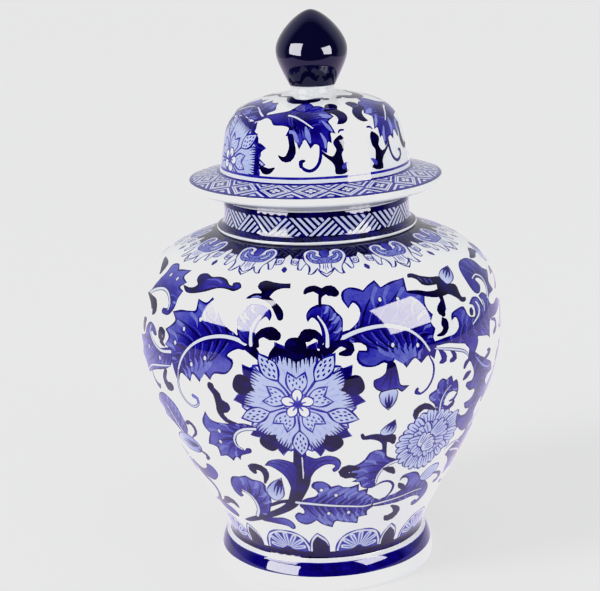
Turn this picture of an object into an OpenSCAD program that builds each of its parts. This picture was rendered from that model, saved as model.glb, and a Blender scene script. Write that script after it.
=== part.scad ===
// Blue-and-white porcelain ginger jar with a domed lid and a bud finial.
// Millimetres, +Z up. The origin is the centre of the foot, on the surface it stands on.
// Every piece is turned about the Z axis. The lid pieces are one body, which lifts straight off.

/* [Foot] */
// Widest radius of the foot ring
foot_r = 59.6; // [58.6:0.1:60.6]
// Radius of the waist, where the foot meets the body
waist_r = 54.2; // [53.5:0.1:55.0]
// Height of the waist above the standing surface
waist_z = 20.5; // [19.5:0.1:21.5]
// Depth of the recess under the base
recess_h = 13.5; // [12:0.5:14]
// Radius of the bore of the foot ring, which holds the base
foot_bore_r = 50.0; // [49:0.1:51]

/* [Body] */
// Largest radius of the body
belly_r = 99.0; // [97:0.5:101]
// Height of the largest radius
belly_z = 134.0; // [131:0.5:137]
// Radius of the shoulder where the neck stands
shoulder_r = 52.0; // [51.6:0.1:52.6]
// Height of the shoulder where the neck stands
shoulder_z = 190.3; // [189:0.1:191]
// Thickness of the porcelain in the body
body_wall = 4.5; // [4:0.1:5]
// Thickness of the base
base_wall = 6.5; // [5:0.5:7]

/* [Neck] */
// Outer radius of the neck
neck_r = 49.9; // [49.5:0.1:50.2]
// Radius of the bore of the neck
neck_bore_r = 45.3; // [45.1:0.1:45.8]
// Height of the top of the neck, where the lid rests
neck_top_z = 207.2; // [206.5:0.1:208]
// Radius of the small round on the rim of the skirt at the root of the neck
bead_r = 0.95; // [0.8:0.05:1.0]
// How far the skirt stands out from the neck
bead_out = 4.1; // [3.8:0.1:4.3]
// Height of the skirt above the shoulder
skirt_h = 6.0; // [5:0.5:7]

/* [Lid] */
// Radius of the rim of the flange
flange_r = 68.4; // [67:0.1:70]
// Height of the lower edge of the rim
rim_low_z = 213.0; // [212.5:0.1:213.5]
// Height of the upper edge of the rim
rim_high_z = 216.9; // [216.5:0.1:217.5]
// Radius of the seat, the flat under the flange that rests on the neck
seat_r = 50.5; // [50.3:0.1:51]
// Outer radius of the collar that drops into the neck
collar_r = 44.2; // [43.8:0.1:44.4]
// Radius of the bore of the collar and of the flange
collar_bore_r = 40.5; // [40:0.1:41]
// Depth of the collar below the top of the neck
collar_h = 10.0; // [8:0.5:12]
// Radius of the foot of the dome
dome_r = 51.3; // [50.8:0.1:51.6]
// Height of the foot of the dome
dome_z = 221.3; // [221:0.1:222]
// Height of the flat on top of the dome
crown_z = 261.8; // [261:0.1:262.5]
// Thickness of the porcelain in the dome
dome_wall = 4.0; // [3.5:0.1:4.5]

/* [Finial] */
// Radius of the white seat under the bud
stem_r = 12.2; // [11.8:0.1:12.4]
// Height where the bud starts
bud_z = 265.6; // [265:0.1:266]
// Largest radius of the bud
bud_r = 19.0; // [18:0.1:20]
// Height of the largest radius of the bud
bud_wide_z = 284.0; // [283:0.5:286]
// Height of the tip of the bud, which is the height of the whole jar
top_z = 305.0; // [303:0.5:308]

/* [Hidden] */

PORCELAIN = "whitesmoke";
BISQUE = "antiquewhite";
COBALT = "midnightblue";

// Sides of a turned piece, and straight steps along one curve or small round
SIDES = 128;
STEPS = 14;
ROUND_STEPS = 5;

// Small rounds on the edges of the pieces
foot_round = 1.8;
foot_inner_round = 2.5;
floor_corner = 2.5;
lip_round = 1.4;
collar_round = 1.2;

// A point on a cubic curve from a to d that leaves towards b and arrives from c
function cubic(a, b, c, d, t) =
    pow(1 - t, 3) * a
    + 3 * pow(1 - t, 2) * t * b
    + 3 * (1 - t) * t * t * c
    + pow(t, 3) * d;

// The points of that curve
function curve(a, b, c, d, steps = STEPS) =
    [for (i = [0:steps]) cubic(a, b, c, d, i / steps)];

// The points of an arc about centre, between two angles
function arc(centre, r, from, to) =
    [for (i = [0:ROUND_STEPS])
        let (a = from + (to - from) * i / ROUND_STEPS)
        centre + r * [cos(a), sin(a)]];

// All points of a list but the first
function tail(p) = [for (i = [1:len(p) - 1]) p[i]];

function reversed(p) = [for (i = [len(p) - 1:-1:0]) p[i]];

// The unit vector to the left of the outline at point i, which points into the wall
function inward(p, i) =
    let (
        d = p[min(i + 1, len(p) - 1)] - p[max(i - 1, 0)]
    )
    [-d[1], d[0]] / norm(d);

// The same outline, moved into the wall by its thickness
function inset(p, wall) = [for (i = [0:len(p) - 1]) p[i] + wall * inward(p, i)];

// The outside of the foot, upwards: an upright side that leans in towards its top, then a small cove at the waist
foot_side = concat(
    curve(
        [foot_r - 0.2, foot_round],
        [foot_r + 0.1, 0.37 * waist_z],
        [foot_r - 1.0, 0.6 * waist_z],
        [foot_r - 3.2, 0.77 * waist_z],
        10
    ),
    tail(curve(
        [foot_r - 3.2, 0.77 * waist_z],
        [foot_r - 3.8, 0.82 * waist_z],
        [waist_r, 0.83 * waist_z],
        [waist_r, 0.9 * waist_z],
        6
    )),
    [[waist_r, waist_z]]
);

// The outside of the body, upwards: the flare up to the belly, then the shoulder
body_side = concat(
    curve(
        [waist_r, waist_z],
        [waist_r + 4.5, waist_z + 17.5],
        [belly_r, belly_z - 43],
        [belly_r, belly_z],
        20
    ),
    tail(curve(
        [belly_r, belly_z],
        [belly_r, belly_z + 45.2],
        [shoulder_r + 26.8, shoulder_z - 10.2],
        [shoulder_r, shoulder_z],
        20
    ))
);

// The outside of the dome, upwards
dome_side = curve(
    [dome_r, dome_z],
    [dome_r - 4.7, dome_z + 26.8],
    [dome_r - 2.0, crown_z - 5.2],
    [stem_r + 0.2, crown_z],
    24
);

// The outside of the bud, upwards
bud_side = concat(
    curve(
        [stem_r, bud_z],
        [bud_r - 0.5, bud_wide_z - 5.8],
        [bud_r, bud_wide_z - 4.2],
        [bud_r, bud_wide_z],
        10
    ),
    tail(curve(
        [bud_r, bud_wide_z],
        [bud_r, bud_wide_z + 8.5],
        [bud_r / 3, top_z],
        [0, top_z],
        14
    ))
);

module turned(outline) {
    rotate_extrude($fn = SIDES)
        polygon(outline);
}

// The ring that the jar stands on, glazed outside and bare underneath
module foot_ring() {
    color(PORCELAIN)
        turned(concat(
            [[foot_bore_r, waist_z], [foot_bore_r, foot_inner_round]],
            arc(
                [foot_bore_r + foot_inner_round, foot_inner_round],
                foot_inner_round, 180, 270
            ),
            arc([foot_r - 0.2 - foot_round, foot_round], foot_round, -90, 0),
            tail(foot_side)
        ));
}

// The hollow body: base, belly and shoulder
module jar_body() {
    inner = inset(body_side, body_wall);
    floor_z = recess_h + base_wall;
    color(PORCELAIN)
        turned(concat(
            [[0, recess_h], [foot_bore_r, recess_h], [foot_bore_r, waist_z]],
            body_side,
            [[neck_bore_r, shoulder_z], [neck_bore_r, shoulder_z - 0.7 * body_wall]],
            reversed(inner),
            [[inner[0][0] - floor_corner, floor_z], [0, floor_z]]
        ));
}

// The neck with the flared skirt at its root, whose round rim stands just clear of the falling shoulder
module neck_ring() {
    bead_at = [neck_r + bead_out - bead_r, shoulder_z - 0.3 + bead_r];
    skirt_low = bead_at + [0, bead_r];
    color(PORCELAIN)
        turned(concat(
            [[neck_bore_r, shoulder_z], [shoulder_r, shoulder_z]],
            arc(bead_at, bead_r, -90, 90),
            tail(curve(
                skirt_low,
                skirt_low - [1.6, -0.2],
                [neck_r, shoulder_z + 0.5 * skirt_h],
                [neck_r, shoulder_z + skirt_h],
                8
            )),
            arc([neck_r - lip_round, neck_top_z - lip_round], lip_round, 0, 90),
            arc([neck_bore_r + lip_round, neck_top_z - lip_round], lip_round, 90, 180)
        ));
}

// The bare ring under the lid that drops into the neck and stops the lid sliding off
module locating_collar() {
    low_z = neck_top_z - collar_h;
    color(BISQUE)
        turned(concat(
            [[collar_bore_r, neck_top_z]],
            arc([collar_bore_r + collar_round, low_z + collar_round], collar_round, 180, 270),
            arc([collar_r - collar_round, low_z + collar_round], collar_round, -90, 0),
            [[collar_r, neck_top_z]]
        ));
}

// The wide flange: flat seat, bevel, thin rim and the gently hollowed top
module lid_flange() {
    rim = curve(
        [flange_r - 1.4, rim_low_z],
        [flange_r, rim_low_z + 0.6],
        [flange_r + 0.3, rim_high_z - 1.4],
        [flange_r - 0.4, rim_high_z],
        8
    );
    top = curve(
        [flange_r - 0.4, rim_high_z],
        [flange_r - 5, rim_high_z + 1.7],
        [dome_r + 4, dome_z - 0.9],
        [dome_r, dome_z],
        12
    );
    color(PORCELAIN)
        turned(concat(
            [[collar_bore_r, neck_top_z], [seat_r, neck_top_z]],
            rim,
            tail(top),
            [[collar_bore_r, dome_z]]
        ));
}

// The hollow dome, with a flat crown that the finial stands on
module lid_dome() {
    inner = inset(dome_side, dome_wall);
    inner_top_z = inner[len(inner) - 1][1];
    color(PORCELAIN)
        turned(concat(
            dome_side,
            [[0, crown_z], [0, inner_top_z]],
            reversed(tail(inner)),
            [[dome_r - dome_wall, dome_z]]
        ));
}

// The short white stem between dome and bud
module finial_seat() {
    color(PORCELAIN)
        turned(concat(
            [[0, crown_z]],
            curve(
                [stem_r + 0.2, crown_z],
                [stem_r - 0.5, crown_z + 1.0],
                [stem_r - 0.5, bud_z - 1.0],
                [stem_r, bud_z],
                6
            ),
            [[0, bud_z]]
        ));
}

// The pointed bud, solid, in dark glaze
module finial_bud() {
    color(COBALT)
        turned(concat([[0, bud_z]], bud_side));
}

foot_ring();
jar_body();
neck_ring();
locating_collar();
lid_flange();
lid_dome();
finial_seat();
finial_bud();
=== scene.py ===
"""A blue-and-white ginger jar: the looks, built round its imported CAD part.

Each piece is turned from the outline of its CAD node. The painting is drawn as closed loops in (turn, v):
turn is in degrees round the jar, 0 at the front and growing to the right, and v in millimetres along the
outline. The surface is cut into triangles along the edges of the painted areas, and every corner holds the
strength of the cobalt there, from 0 for bare porcelain to 1 for navy. That strength is called a tone below.
"""

import math

import bpy
import numpy as np
from mathutils import Matrix, Vector
from mathutils.geometry import delaunay_2d_cdt


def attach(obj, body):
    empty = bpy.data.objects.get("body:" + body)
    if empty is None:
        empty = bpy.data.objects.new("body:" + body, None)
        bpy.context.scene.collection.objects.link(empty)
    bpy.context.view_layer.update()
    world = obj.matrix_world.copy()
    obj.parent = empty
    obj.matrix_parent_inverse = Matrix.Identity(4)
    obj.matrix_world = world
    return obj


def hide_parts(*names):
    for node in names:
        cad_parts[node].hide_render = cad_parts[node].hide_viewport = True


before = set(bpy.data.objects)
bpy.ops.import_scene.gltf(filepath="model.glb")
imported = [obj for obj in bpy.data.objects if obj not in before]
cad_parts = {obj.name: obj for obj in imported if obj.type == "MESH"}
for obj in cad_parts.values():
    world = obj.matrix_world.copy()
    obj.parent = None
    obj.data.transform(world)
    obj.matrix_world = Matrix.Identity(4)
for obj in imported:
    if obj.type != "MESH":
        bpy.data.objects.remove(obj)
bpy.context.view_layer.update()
MM = 0.001


# ---------------------------------------------------------------- camera, floor and light

IMAGE_WIDTH = 600  # pixels
FOCAL_LENGTH = 1666.7  # pixels
SENSOR_WIDTH = 36.0  # millimetres
CAMERA_AT = (0, -0.8837, 0.382)
YAW, PITCH, ROLL = math.radians(-0.68), math.radians(14.72), math.radians(-1.98)

FLOOR_REACH = 8.0
FLOOR_GLOW = 0.745  # light of the floor's own, so that it stays evenly pale
FLOOR_ALBEDO = (0.16, 0.16, 0.16, 1)  # how much it takes from the sun that casts the faint shadow
SUN_FROM, SUN_ENERGY, SUN_ANGLE = (-0.88, -0.47, 0.58), 2.6, math.radians(20)
TABLE_SIDE, TABLE_FRONT, TABLE_BACK = 0.86, -0.43, 3.0

WHITE_LIGHT = (1.0, 1.0, 1.0, 1)
PANEL_LIGHT = (0.96, 0.94, 1.0, 1)
TABLE_LIGHT = (0.95, 0.85, 1.03, 1)

# (centre, facing, width, height, roll in degrees) of the two softbox fronts that the glaze reflects
PANELS = {
    "left_panel": ((-0.335, -0.207, 0.371), (0.42, 0.88, -0.22), 0.345, 0.31, 6),
    "right_panel": ((0.39, -0.33, 0.32), (-0.80, 0.35, -0.50), 0.30, 0.28, 88),
}
PANEL_GLOW, TABLE_GLOW = 20, 1.4
# (place, target, size, watts) of the softboxes' own light
SOFTBOXES = {
    "left_light": ((-1.2, -1.2, 0.9), (0, 0, 0.15), 0.8, 7),
    "right_light": ((1.1, -1.3, 0.8), (0, 0, 0.15), 0.8, 3),
}
LOW_WINDOW = ((-0.36, -0.34, 0.075), (-0.03, -0.05, 0.012), 0.31, 6.2)


def put_in_scene(thing):
    bpy.context.scene.collection.objects.link(thing)
    return thing


def make_camera():
    """The photo's camera: a long lens a little above the jar, with a small tilt."""
    ahead = Vector((math.sin(YAW) * math.cos(PITCH), math.cos(YAW) * math.cos(PITCH), -math.sin(PITCH)))
    right = Vector((math.cos(YAW), -math.sin(YAW), 0))
    up = right.cross(ahead)
    tilted_right = math.cos(ROLL) * right + math.sin(ROLL) * up
    tilted_up = -math.sin(ROLL) * right + math.cos(ROLL) * up
    data = bpy.data.cameras.new("camera")
    data.sensor_width = SENSOR_WIDTH
    data.lens = FOCAL_LENGTH * SENSOR_WIDTH / IMAGE_WIDTH
    camera = put_in_scene(bpy.data.objects.new("camera", data))
    turn = Matrix((tilted_right, tilted_up, -ahead)).transposed().to_4x4()
    camera.matrix_world = Matrix.Translation(CAMERA_AT) @ turn
    bpy.context.scene.camera = camera


def nodes_of(thing):
    """The emptied node tree of a material or world."""
    thing.use_nodes = True
    thing.node_tree.nodes.clear()
    return thing.node_tree


def add(tree, kind, **settings):
    """A new node; a setting is an attribute of the node, or a value for its input of that name."""
    node = tree.nodes.new("ShaderNode" + kind)
    for name, value in settings.items():
        if hasattr(node, name):
            setattr(node, name, value)
        else:
            node.inputs[name.replace("_", " ")].default_value = value
    return node


def make_world():
    """A pale room; the glaze mirrors a white sweep behind the jar and a dark room in front of it."""
    world = bpy.data.worlds.new("studio")
    bpy.context.scene.world = world
    tree = nodes_of(world)
    ray = add(tree, "LightPath")
    direction = add(tree, "SeparateXYZ")
    tree.links.new(add(tree, "TexCoord").outputs["Generated"], direction.inputs[0])
    behind = add(tree, "MapRange", interpolation_type="SMOOTHSTEP",
                 From_Min=-0.10, From_Max=0.25, To_Min=0.02, To_Max=0.85)
    tree.links.new(direction.outputs["Y"], behind.inputs["Value"])
    fill = add(tree, "Background", Color=(0.97, 0.98, 1.0, 1), Strength=1.12)
    sweep = add(tree, "Background", Color=WHITE_LIGHT)
    tree.links.new(behind.outputs["Result"], sweep.inputs["Strength"])
    backdrop = add(tree, "Background", Color=WHITE_LIGHT, Strength=1.0)
    shiny = add(tree, "MixShader")
    both = add(tree, "MixShader")
    tree.links.new(ray.outputs["Is Glossy Ray"], shiny.inputs[0])
    tree.links.new(fill.outputs[0], shiny.inputs[1])
    tree.links.new(sweep.outputs[0], shiny.inputs[2])
    tree.links.new(ray.outputs["Is Camera Ray"], both.inputs[0])
    tree.links.new(shiny.outputs[0], both.inputs[1])
    tree.links.new(backdrop.outputs[0], both.inputs[2])
    tree.links.new(both.outputs[0], add(tree, "OutputWorld").inputs[0])


def stage_quad(name, corners, shader_of):
    """A flat piece of the studio; shader_of makes its shader in a node tree."""
    mesh = bpy.data.meshes.new(name)
    mesh.from_pydata([tuple(corner) for corner in corners], [], [(0, 1, 2, 3)])
    quad = put_in_scene(bpy.data.objects.new(name, mesh))
    material = bpy.data.materials.new(name)
    tree = nodes_of(material)
    tree.links.new(shader_of(tree), add(tree, "OutputMaterial").inputs[0])
    mesh.materials.append(material)
    return quad


def glow(strength, color):
    return lambda tree: add(tree, "Emission", Color=color, Strength=strength).outputs[0]


def pale_matt(tree):
    """A matt surface with some light of its own."""
    matt = add(tree, "BsdfDiffuse", Color=FLOOR_ALBEDO)
    both = add(tree, "AddShader")
    tree.links.new(glow(FLOOR_GLOW, WHITE_LIGHT)(tree), both.inputs[0])
    tree.links.new(matt.outputs[0], both.inputs[1])
    return both.outputs[0]


def only_in_reflections(quad):
    quad.visible_camera = quad.visible_diffuse = quad.visible_shadow = quad.visible_transmission = False


def floor_corners(left, front, right, back):
    return [(left, front, 0), (right, front, 0), (right, back, 0), (left, back, 0)]


def make_floor():
    """A pale floor that takes only a faint shadow, and the white table that the glaze reflects."""
    corners = floor_corners(-FLOOR_REACH, -FLOOR_REACH, FLOOR_REACH, FLOOR_REACH)
    floor = stage_quad("floor", corners, pale_matt)
    floor.visible_glossy = False
    sun = put_in_scene(bpy.data.objects.new("floor_light", bpy.data.lights.new("floor_light", "SUN")))
    sun.data.energy, sun.data.angle = SUN_ENERGY, SUN_ANGLE
    turn_to(sun, Vector(SUN_FROM))
    light_only("floor_light", [floor])
    corners = floor_corners(-TABLE_SIDE, TABLE_FRONT, TABLE_SIDE, TABLE_BACK)
    only_in_reflections(stage_quad("table", corners, glow(TABLE_GLOW, TABLE_LIGHT)))


def make_panel(name, centre, facing, width, height, roll):
    """The bright front of a softbox, as the glaze shows it."""
    facing = Vector(facing).normalized()
    across = Vector((0, 0, 1)).cross(facing).normalized()
    up = facing.cross(across)
    turn = math.radians(roll)
    a = (math.cos(turn) * across + math.sin(turn) * up) * width / 2
    b = (-math.sin(turn) * across + math.cos(turn) * up) * height / 2
    c = Vector(centre)
    corners = [c - a - b, c + a - b, c + a + b, c - a + b]
    only_in_reflections(stage_quad(name, corners, glow(PANEL_GLOW, PANEL_LIGHT)))


def turn_to(light, source):
    """Turns a light so that it shines from a source direction."""
    light.rotation_mode = "QUATERNION"
    light.rotation_quaternion = source.to_track_quat("Z", "Y")


def softbox(name, place, target, size, power):
    """The light of a softbox; its front is a panel of its own."""
    data = bpy.data.lights.new(name, "AREA")
    data.shape = "RECTANGLE"
    data.size = data.size_y = size
    data.energy = power
    light = put_in_scene(bpy.data.objects.new(name, data))
    light.location = place
    turn_to(light, Vector(place) - Vector(target))
    light.visible_camera = light.visible_glossy = False
    return light


def light_only(name, pieces):
    """Makes a light or a glowing panel shine on some pieces only."""
    chosen = bpy.data.collections.new("lit_by_" + name)
    for piece in pieces:
        chosen.objects.link(piece)
    bpy.data.objects[name].light_linking.receiver_collection = chosen


def glint_on(piece):
    """The broad glint of a low window on one piece only."""
    light = softbox("low_light", *LOW_WINDOW)
    light.visible_glossy = True
    light.visible_diffuse = False
    light_only("low_light", [piece])


BRIGHTEST = 0.807  # what pure white is printed as
TOE = ((0.05, 0.024), (0.20, 0.17))  # a slightly deeper print of the darks


def print_whites():
    """Every white is held at the pale tone of the backdrop, as in a high-key print."""
    view = bpy.context.scene.view_settings
    view.view_transform = "Standard"
    view.look = "None"
    view.use_curve_mapping = True
    curve = view.curve_mapping
    curve.extend = "HORIZONTAL"
    shape = curve.curves[3].points
    shape[-1].location = (1.0, BRIGHTEST)
    for place in TOE:
        shape.new(*place)
    for point in shape:
        point.handle_type = "VECTOR"
    curve.update()


make_camera()
make_world()
make_floor()
for name, panel in PANELS.items():
    make_panel(name, *panel)
for name, box in SOFTBOXES.items():
    softbox(name, *box)
print_whites()


# ---------------------------------------------------------------- turned outlines from the CAD

SAME = 0.04 * MM  # points nearer than this are one


def outline_of(node):
    """The (radius, height) points round a CAD node's section, in metres, walked along its mesh edges."""
    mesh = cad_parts[node].data
    at = np.array([v.co for v in mesh.vertices])
    flat = np.stack([np.hypot(at[:, 0], at[:, 1]), at[:, 2]], 1)
    keys, back = np.unique(np.round(flat, 5), axis=0, return_inverse=True)
    rings = []
    merged = np.zeros(len(keys), int)
    for i, key in enumerate(keys):
        near = [j for j, ring in enumerate(rings) if math.dist(ring, key) < SAME]
        merged[i] = near[0] if near else len(rings)
        if not near:
            rings.append(key)
    ring_of = merged[back.ravel()]
    beside = {i: set() for i in range(len(rings))}
    for edge in mesh.edges:
        a, b = (int(ring_of[v]) for v in edge.vertices)
        if a != b:
            beside[a].add(b)
            beside[b].add(a)
    ends = [i for i in beside if len(beside[i]) == 1]
    walk = [min(ends or beside, key=lambda i: (rings[i][1], rings[i][0]))]
    while True:
        onward = [i for i in beside[walk[-1]] if i not in walk]
        if not onward:
            break
        walk.append(min(onward, key=lambda i: math.dist(rings[i], rings[walk[-1]])))
    return np.array([rings[i] for i in walk])


class Side:
    """One smooth run of a turned outline; v is the distance along it in millimetres."""

    def __init__(self, run):
        self.run = np.asarray(run, float)
        steps = np.hypot(*np.diff(self.run, axis=0).T) / MM
        self.v = np.concatenate([[0.0], np.cumsum(steps)])
        order = 2 if len(run) > 2 else 1
        self.slope = np.gradient(self.run, self.v, axis=0, edge_order=order)

    def at(self, v):
        """(radius, height) and its rate along v, on a cubic through the outline's points."""
        i = np.clip(np.searchsorted(self.v, v, side="right") - 1, 0, len(self.v) - 2)
        gap = (self.v[i + 1] - self.v[i])[..., None]
        t = ((v - self.v[i])[..., None]) / gap
        p, q = self.run[i], self.run[i + 1]
        m, n = self.slope[i] * gap, self.slope[i + 1] * gap
        place = p + t * (m + t * (3 * (q - p) - 2 * m - n + t * (2 * (p - q) + m + n)))
        rate = (m + t * (2 * (3 * (q - p) - 2 * m - n) + 3 * t * (2 * (p - q) + m + n))) / gap
        return place, rate

    def radius(self, v):
        """The radius in millimetres."""
        return float(self.at(np.float64(v))[0][0]) / MM

    def near(self, radius, height):
        """The v of the point nearest a radius and height, both in millimetres."""
        v = np.linspace(0, self.v[-1], 4000)
        place = self.at(v)[0] / MM
        return float(v[np.argmin(np.hypot(place[:, 0] - radius, place[:, 1] - height))])

    def solid(self, turn, v):
        """Points and normals in space; turn is in degrees, 0 at the front and growing to the right."""
        place, rate = self.at(v)
        angle = np.radians(turn)
        out = np.stack([np.sin(angle), -np.cos(angle)], -1)
        points = np.concatenate([out * place[..., :1], place[..., 1:]], -1)
        rate /= np.maximum(np.hypot(rate[..., 0], rate[..., 1]), 1e-12)[..., None]
        normals = np.concatenate([out * rate[..., 1:], -rate[..., :1]], -1)
        return points, normals


CORNER = math.radians(40)  # a sharper turn of an outline ends its run
COLUMNS = 144  # of the mesh, right round
ROW_GAP = 4.5  # millimetres between rows of the mesh, at most
FIRST, LAST = -90.0, 270.0  # turns of the seam, which is at the jar's left
TURNS = FIRST + (LAST - FIRST) * np.arange(COLUMNS + 1) / COLUMNS
RING_SPAN = 12 * MM  # a section whose ends are nearer than this is a closed ring,
RING_BORE = 15 * MM  # when it also stays this far from the axis


def sides_of(node):
    """The smooth runs round a CAD node's section, with the clay to the left of each."""
    walk = outline_of(node)
    if math.dist(walk[0], walk[-1]) < RING_SPAN and walk[:, 0].min() > RING_BORE:
        walk = np.vstack([walk, walk[:1]])
    else:
        ends = [[[0.0, walk[i, 1]]] if walk[i, 0] > SAME else np.zeros((0, 2)) for i in (0, -1)]
        walk = np.vstack([ends[0], walk, ends[1]])
    walk = turned_left(walk)
    if math.dist(walk[0], walk[-1]) < SAME:
        walk = walk[:-1]
        lead = heading(np.roll(walk, -1, 0) - walk)
        walk = np.roll(walk, -int(np.argmax(bend_between(np.roll(lead, 1), lead))), 0)
        walk = np.vstack([walk, walk[:1]])
    lead = heading(np.diff(walk, axis=0))
    bends = bend_between(lead[:-1], lead[1:])
    cuts = [0] + [i + 1 for i in np.flatnonzero(bends > CORNER)] + [len(walk) - 1]
    return [Side(walk[a:b + 1]) for a, b in zip(cuts[:-1], cuts[1:])]


def heading(steps):
    return np.arctan2(steps[:, 1], steps[:, 0])


def bend_between(before, after):
    """The angle between two headings, without its sign."""
    return np.abs(np.angle(np.exp(1j * (after - before))))


def turned_left(loop):
    """The loop walked anticlockwise."""
    x, y = loop.T
    return loop[::-1] if np.sum(x * np.roll(y, -1) - np.roll(x, -1) * y) < 0 else loop


def levels_of(side, low, high, most):
    """The outline's own points between two v, with more between them where they are far apart."""
    own = [v for v in side.v if low + 0.05 < v < high - 0.05]
    rows = [low]
    for a, b in zip([low] + own, own + [high]):
        count = max(1, math.ceil((b - a) / most))
        rows += [a + (b - a) * (i + 1) / count for i in range(count)]
    return rows


def plain_corners(side, low, high):
    """Triangle corners (turn, v) of an unpainted strip. A straight run needs no rows between its ends."""
    straight = len(side.v) == 2
    turn, v = np.meshgrid(TURNS, levels_of(side, low, high, math.inf if straight else ROW_GAP))
    flat = np.stack([turn, v], -1)
    a, b, c, d = flat[:-1, :-1], flat[:-1, 1:], flat[1:, 1:], flat[1:, :-1]
    corners = np.stack([a, b, c, a, c, d], 2).reshape(-1, 3, 2)
    on_axis = side.at(corners[..., 1])[0][..., 0] < SAME
    corners = corners[on_axis.sum(1) < 2]
    return corners, np.zeros(corners.shape[:2])


STRETCH = 1.5  # millimetres a degree stands for while a band is cut up
TOUCHING = 1e-5  # points of the painted edges nearer than this are one


def clipped(loop, axis, limit, keep):
    """The part of a closed loop on one side of a line; keep is +1 above the limit, -1 below."""
    out = []
    inside = (loop[:, axis] - limit) * keep >= 0
    for i in range(len(loop)):
        j = (i + 1) % len(loop)
        if inside[i]:
            out.append(loop[i])
        if inside[i] != inside[j]:
            share = (limit - loop[i, axis]) / (loop[j, axis] - loop[i, axis])
            cross = loop[i] + share * (loop[j] - loop[i])
            cross[axis] = limit
            out.append(cross)
    return np.array(out)


def wound(points, loop):
    """True where a loop winds anticlockwise round a point."""
    px, py = points[:, :1], points[:, 1:]
    a, b = loop, np.roll(loop, -1, 0)
    left = (b[:, 0] - a[:, 0]) * (py - a[:, 1]) - (px - a[:, 0]) * (b[:, 1] - a[:, 1])
    up = (a[:, 1] <= py) & (b[:, 1] > py) & (left > 0)
    down = (a[:, 1] > py) & (b[:, 1] <= py) & (left < 0)
    return (up.sum(1) - down.sum(1)) > 0


def repeated(areas, period):
    """Every area at each repeat round the jar, cut at the seam."""
    out = []
    for loop, tone in areas:
        low, high = loop[:, 0].min(), loop[:, 0].max()
        first = math.ceil((FIRST - high) / period)
        last = math.floor((LAST - low) / period)
        for k in range(first, last + 1):
            shift = k * period
            moved_loop = loop + [shift, 0.0]
            if low + shift < FIRST:
                moved_loop = clipped(moved_loop, 0, FIRST, 1)
            if high + shift > LAST:
                moved_loop = clipped(moved_loop, 0, LAST, -1)
            if len(moved_loop) > 2:
                out.append((moved_loop, tone, shift))
    return out


def held(area, low, high):
    """The area cut to a band of v, or None outside it."""
    loop, tone, shift = area
    if loop[:, 1].min() < low:
        loop = clipped(loop, 1, low, 1)
    if len(loop) > 2 and loop[:, 1].max() > high:
        loop = clipped(loop, 1, high, -1)
    return (loop, tone, shift) if len(loop) > 2 else None


def painted_corners(side, areas, low, high):
    """Cuts a band into triangles along every painted edge.
    Returns the corners (turn, v) and the paint's strength at each corner."""
    points, edges = [], []

    def chain(flat, closed):
        first = len(points)
        points.extend(flat)
        edges.extend((first + i, first + i + 1) for i in range(len(flat) - 1))
        if closed:
            edges.append((first + len(flat) - 1, first))

    levels = levels_of(side, low, high, ROW_GAP)
    for v in (low, high):
        chain([(turn, v) for turn in TURNS], False)
    for turn in (FIRST, LAST):
        chain([(turn, v) for v in levels], False)
    for i, v in enumerate(levels[1:-1]):
        points.extend((turn, v) for turn in TURNS[1 + i % 2:-1:2])
    areas = [area for area in (held(area, low, high) for area in areas) if area]
    for loop, _, _ in areas:
        chain([tuple(p) for p in loop], True)
    flat = [Vector((turn * STRETCH, v)) for turn, v in points]
    at, _, faces, _, _, _ = delaunay_2d_cdt(flat, edges, [], 0, TOUCHING, False)
    at = np.array(at) / [STRETCH, 1.0]
    for seam in (FIRST, LAST):
        at[np.abs(at[:, 0] - seam) < 10 * TOUCHING, 0] = seam
    at[:, 1] = np.clip(at[:, 1], low, high)
    corners = at[np.array(faces)]
    corners = corners[np.argsort(corners.mean(1)[:, 0])]
    return corners, paint_on(corners, areas)


def paint_on(corners, areas):
    """The tone at the corners of triangles in order of turn; the last area over a triangle counts."""
    middle = corners.mean(1)
    top = np.full(len(corners), -1)
    for k, (loop, _, _) in enumerate(areas):
        a, b = np.searchsorted(middle[:, 0], (loop[:, 0].min(), loop[:, 0].max()))
        near = a + np.flatnonzero((middle[a:b, 1] > loop[:, 1].min()) & (middle[a:b, 1] < loop[:, 1].max()))
        if len(near):
            top[near[wound(middle[near], loop)]] = k
    paint = np.zeros(corners.shape[:2])
    for k in np.unique(top[top >= 0]):
        _, tone, shift = areas[k]
        mine = top == k
        paint[mine] = tone(corners[mine][..., 0] - shift, corners[mine][..., 1])
    return paint


MERGED = 2e-6  # metres; corners nearer than this share a vertex
SPREAD = 400_003, 400_009  # larger than any rounded place, so that each packs into a number of its own


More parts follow.
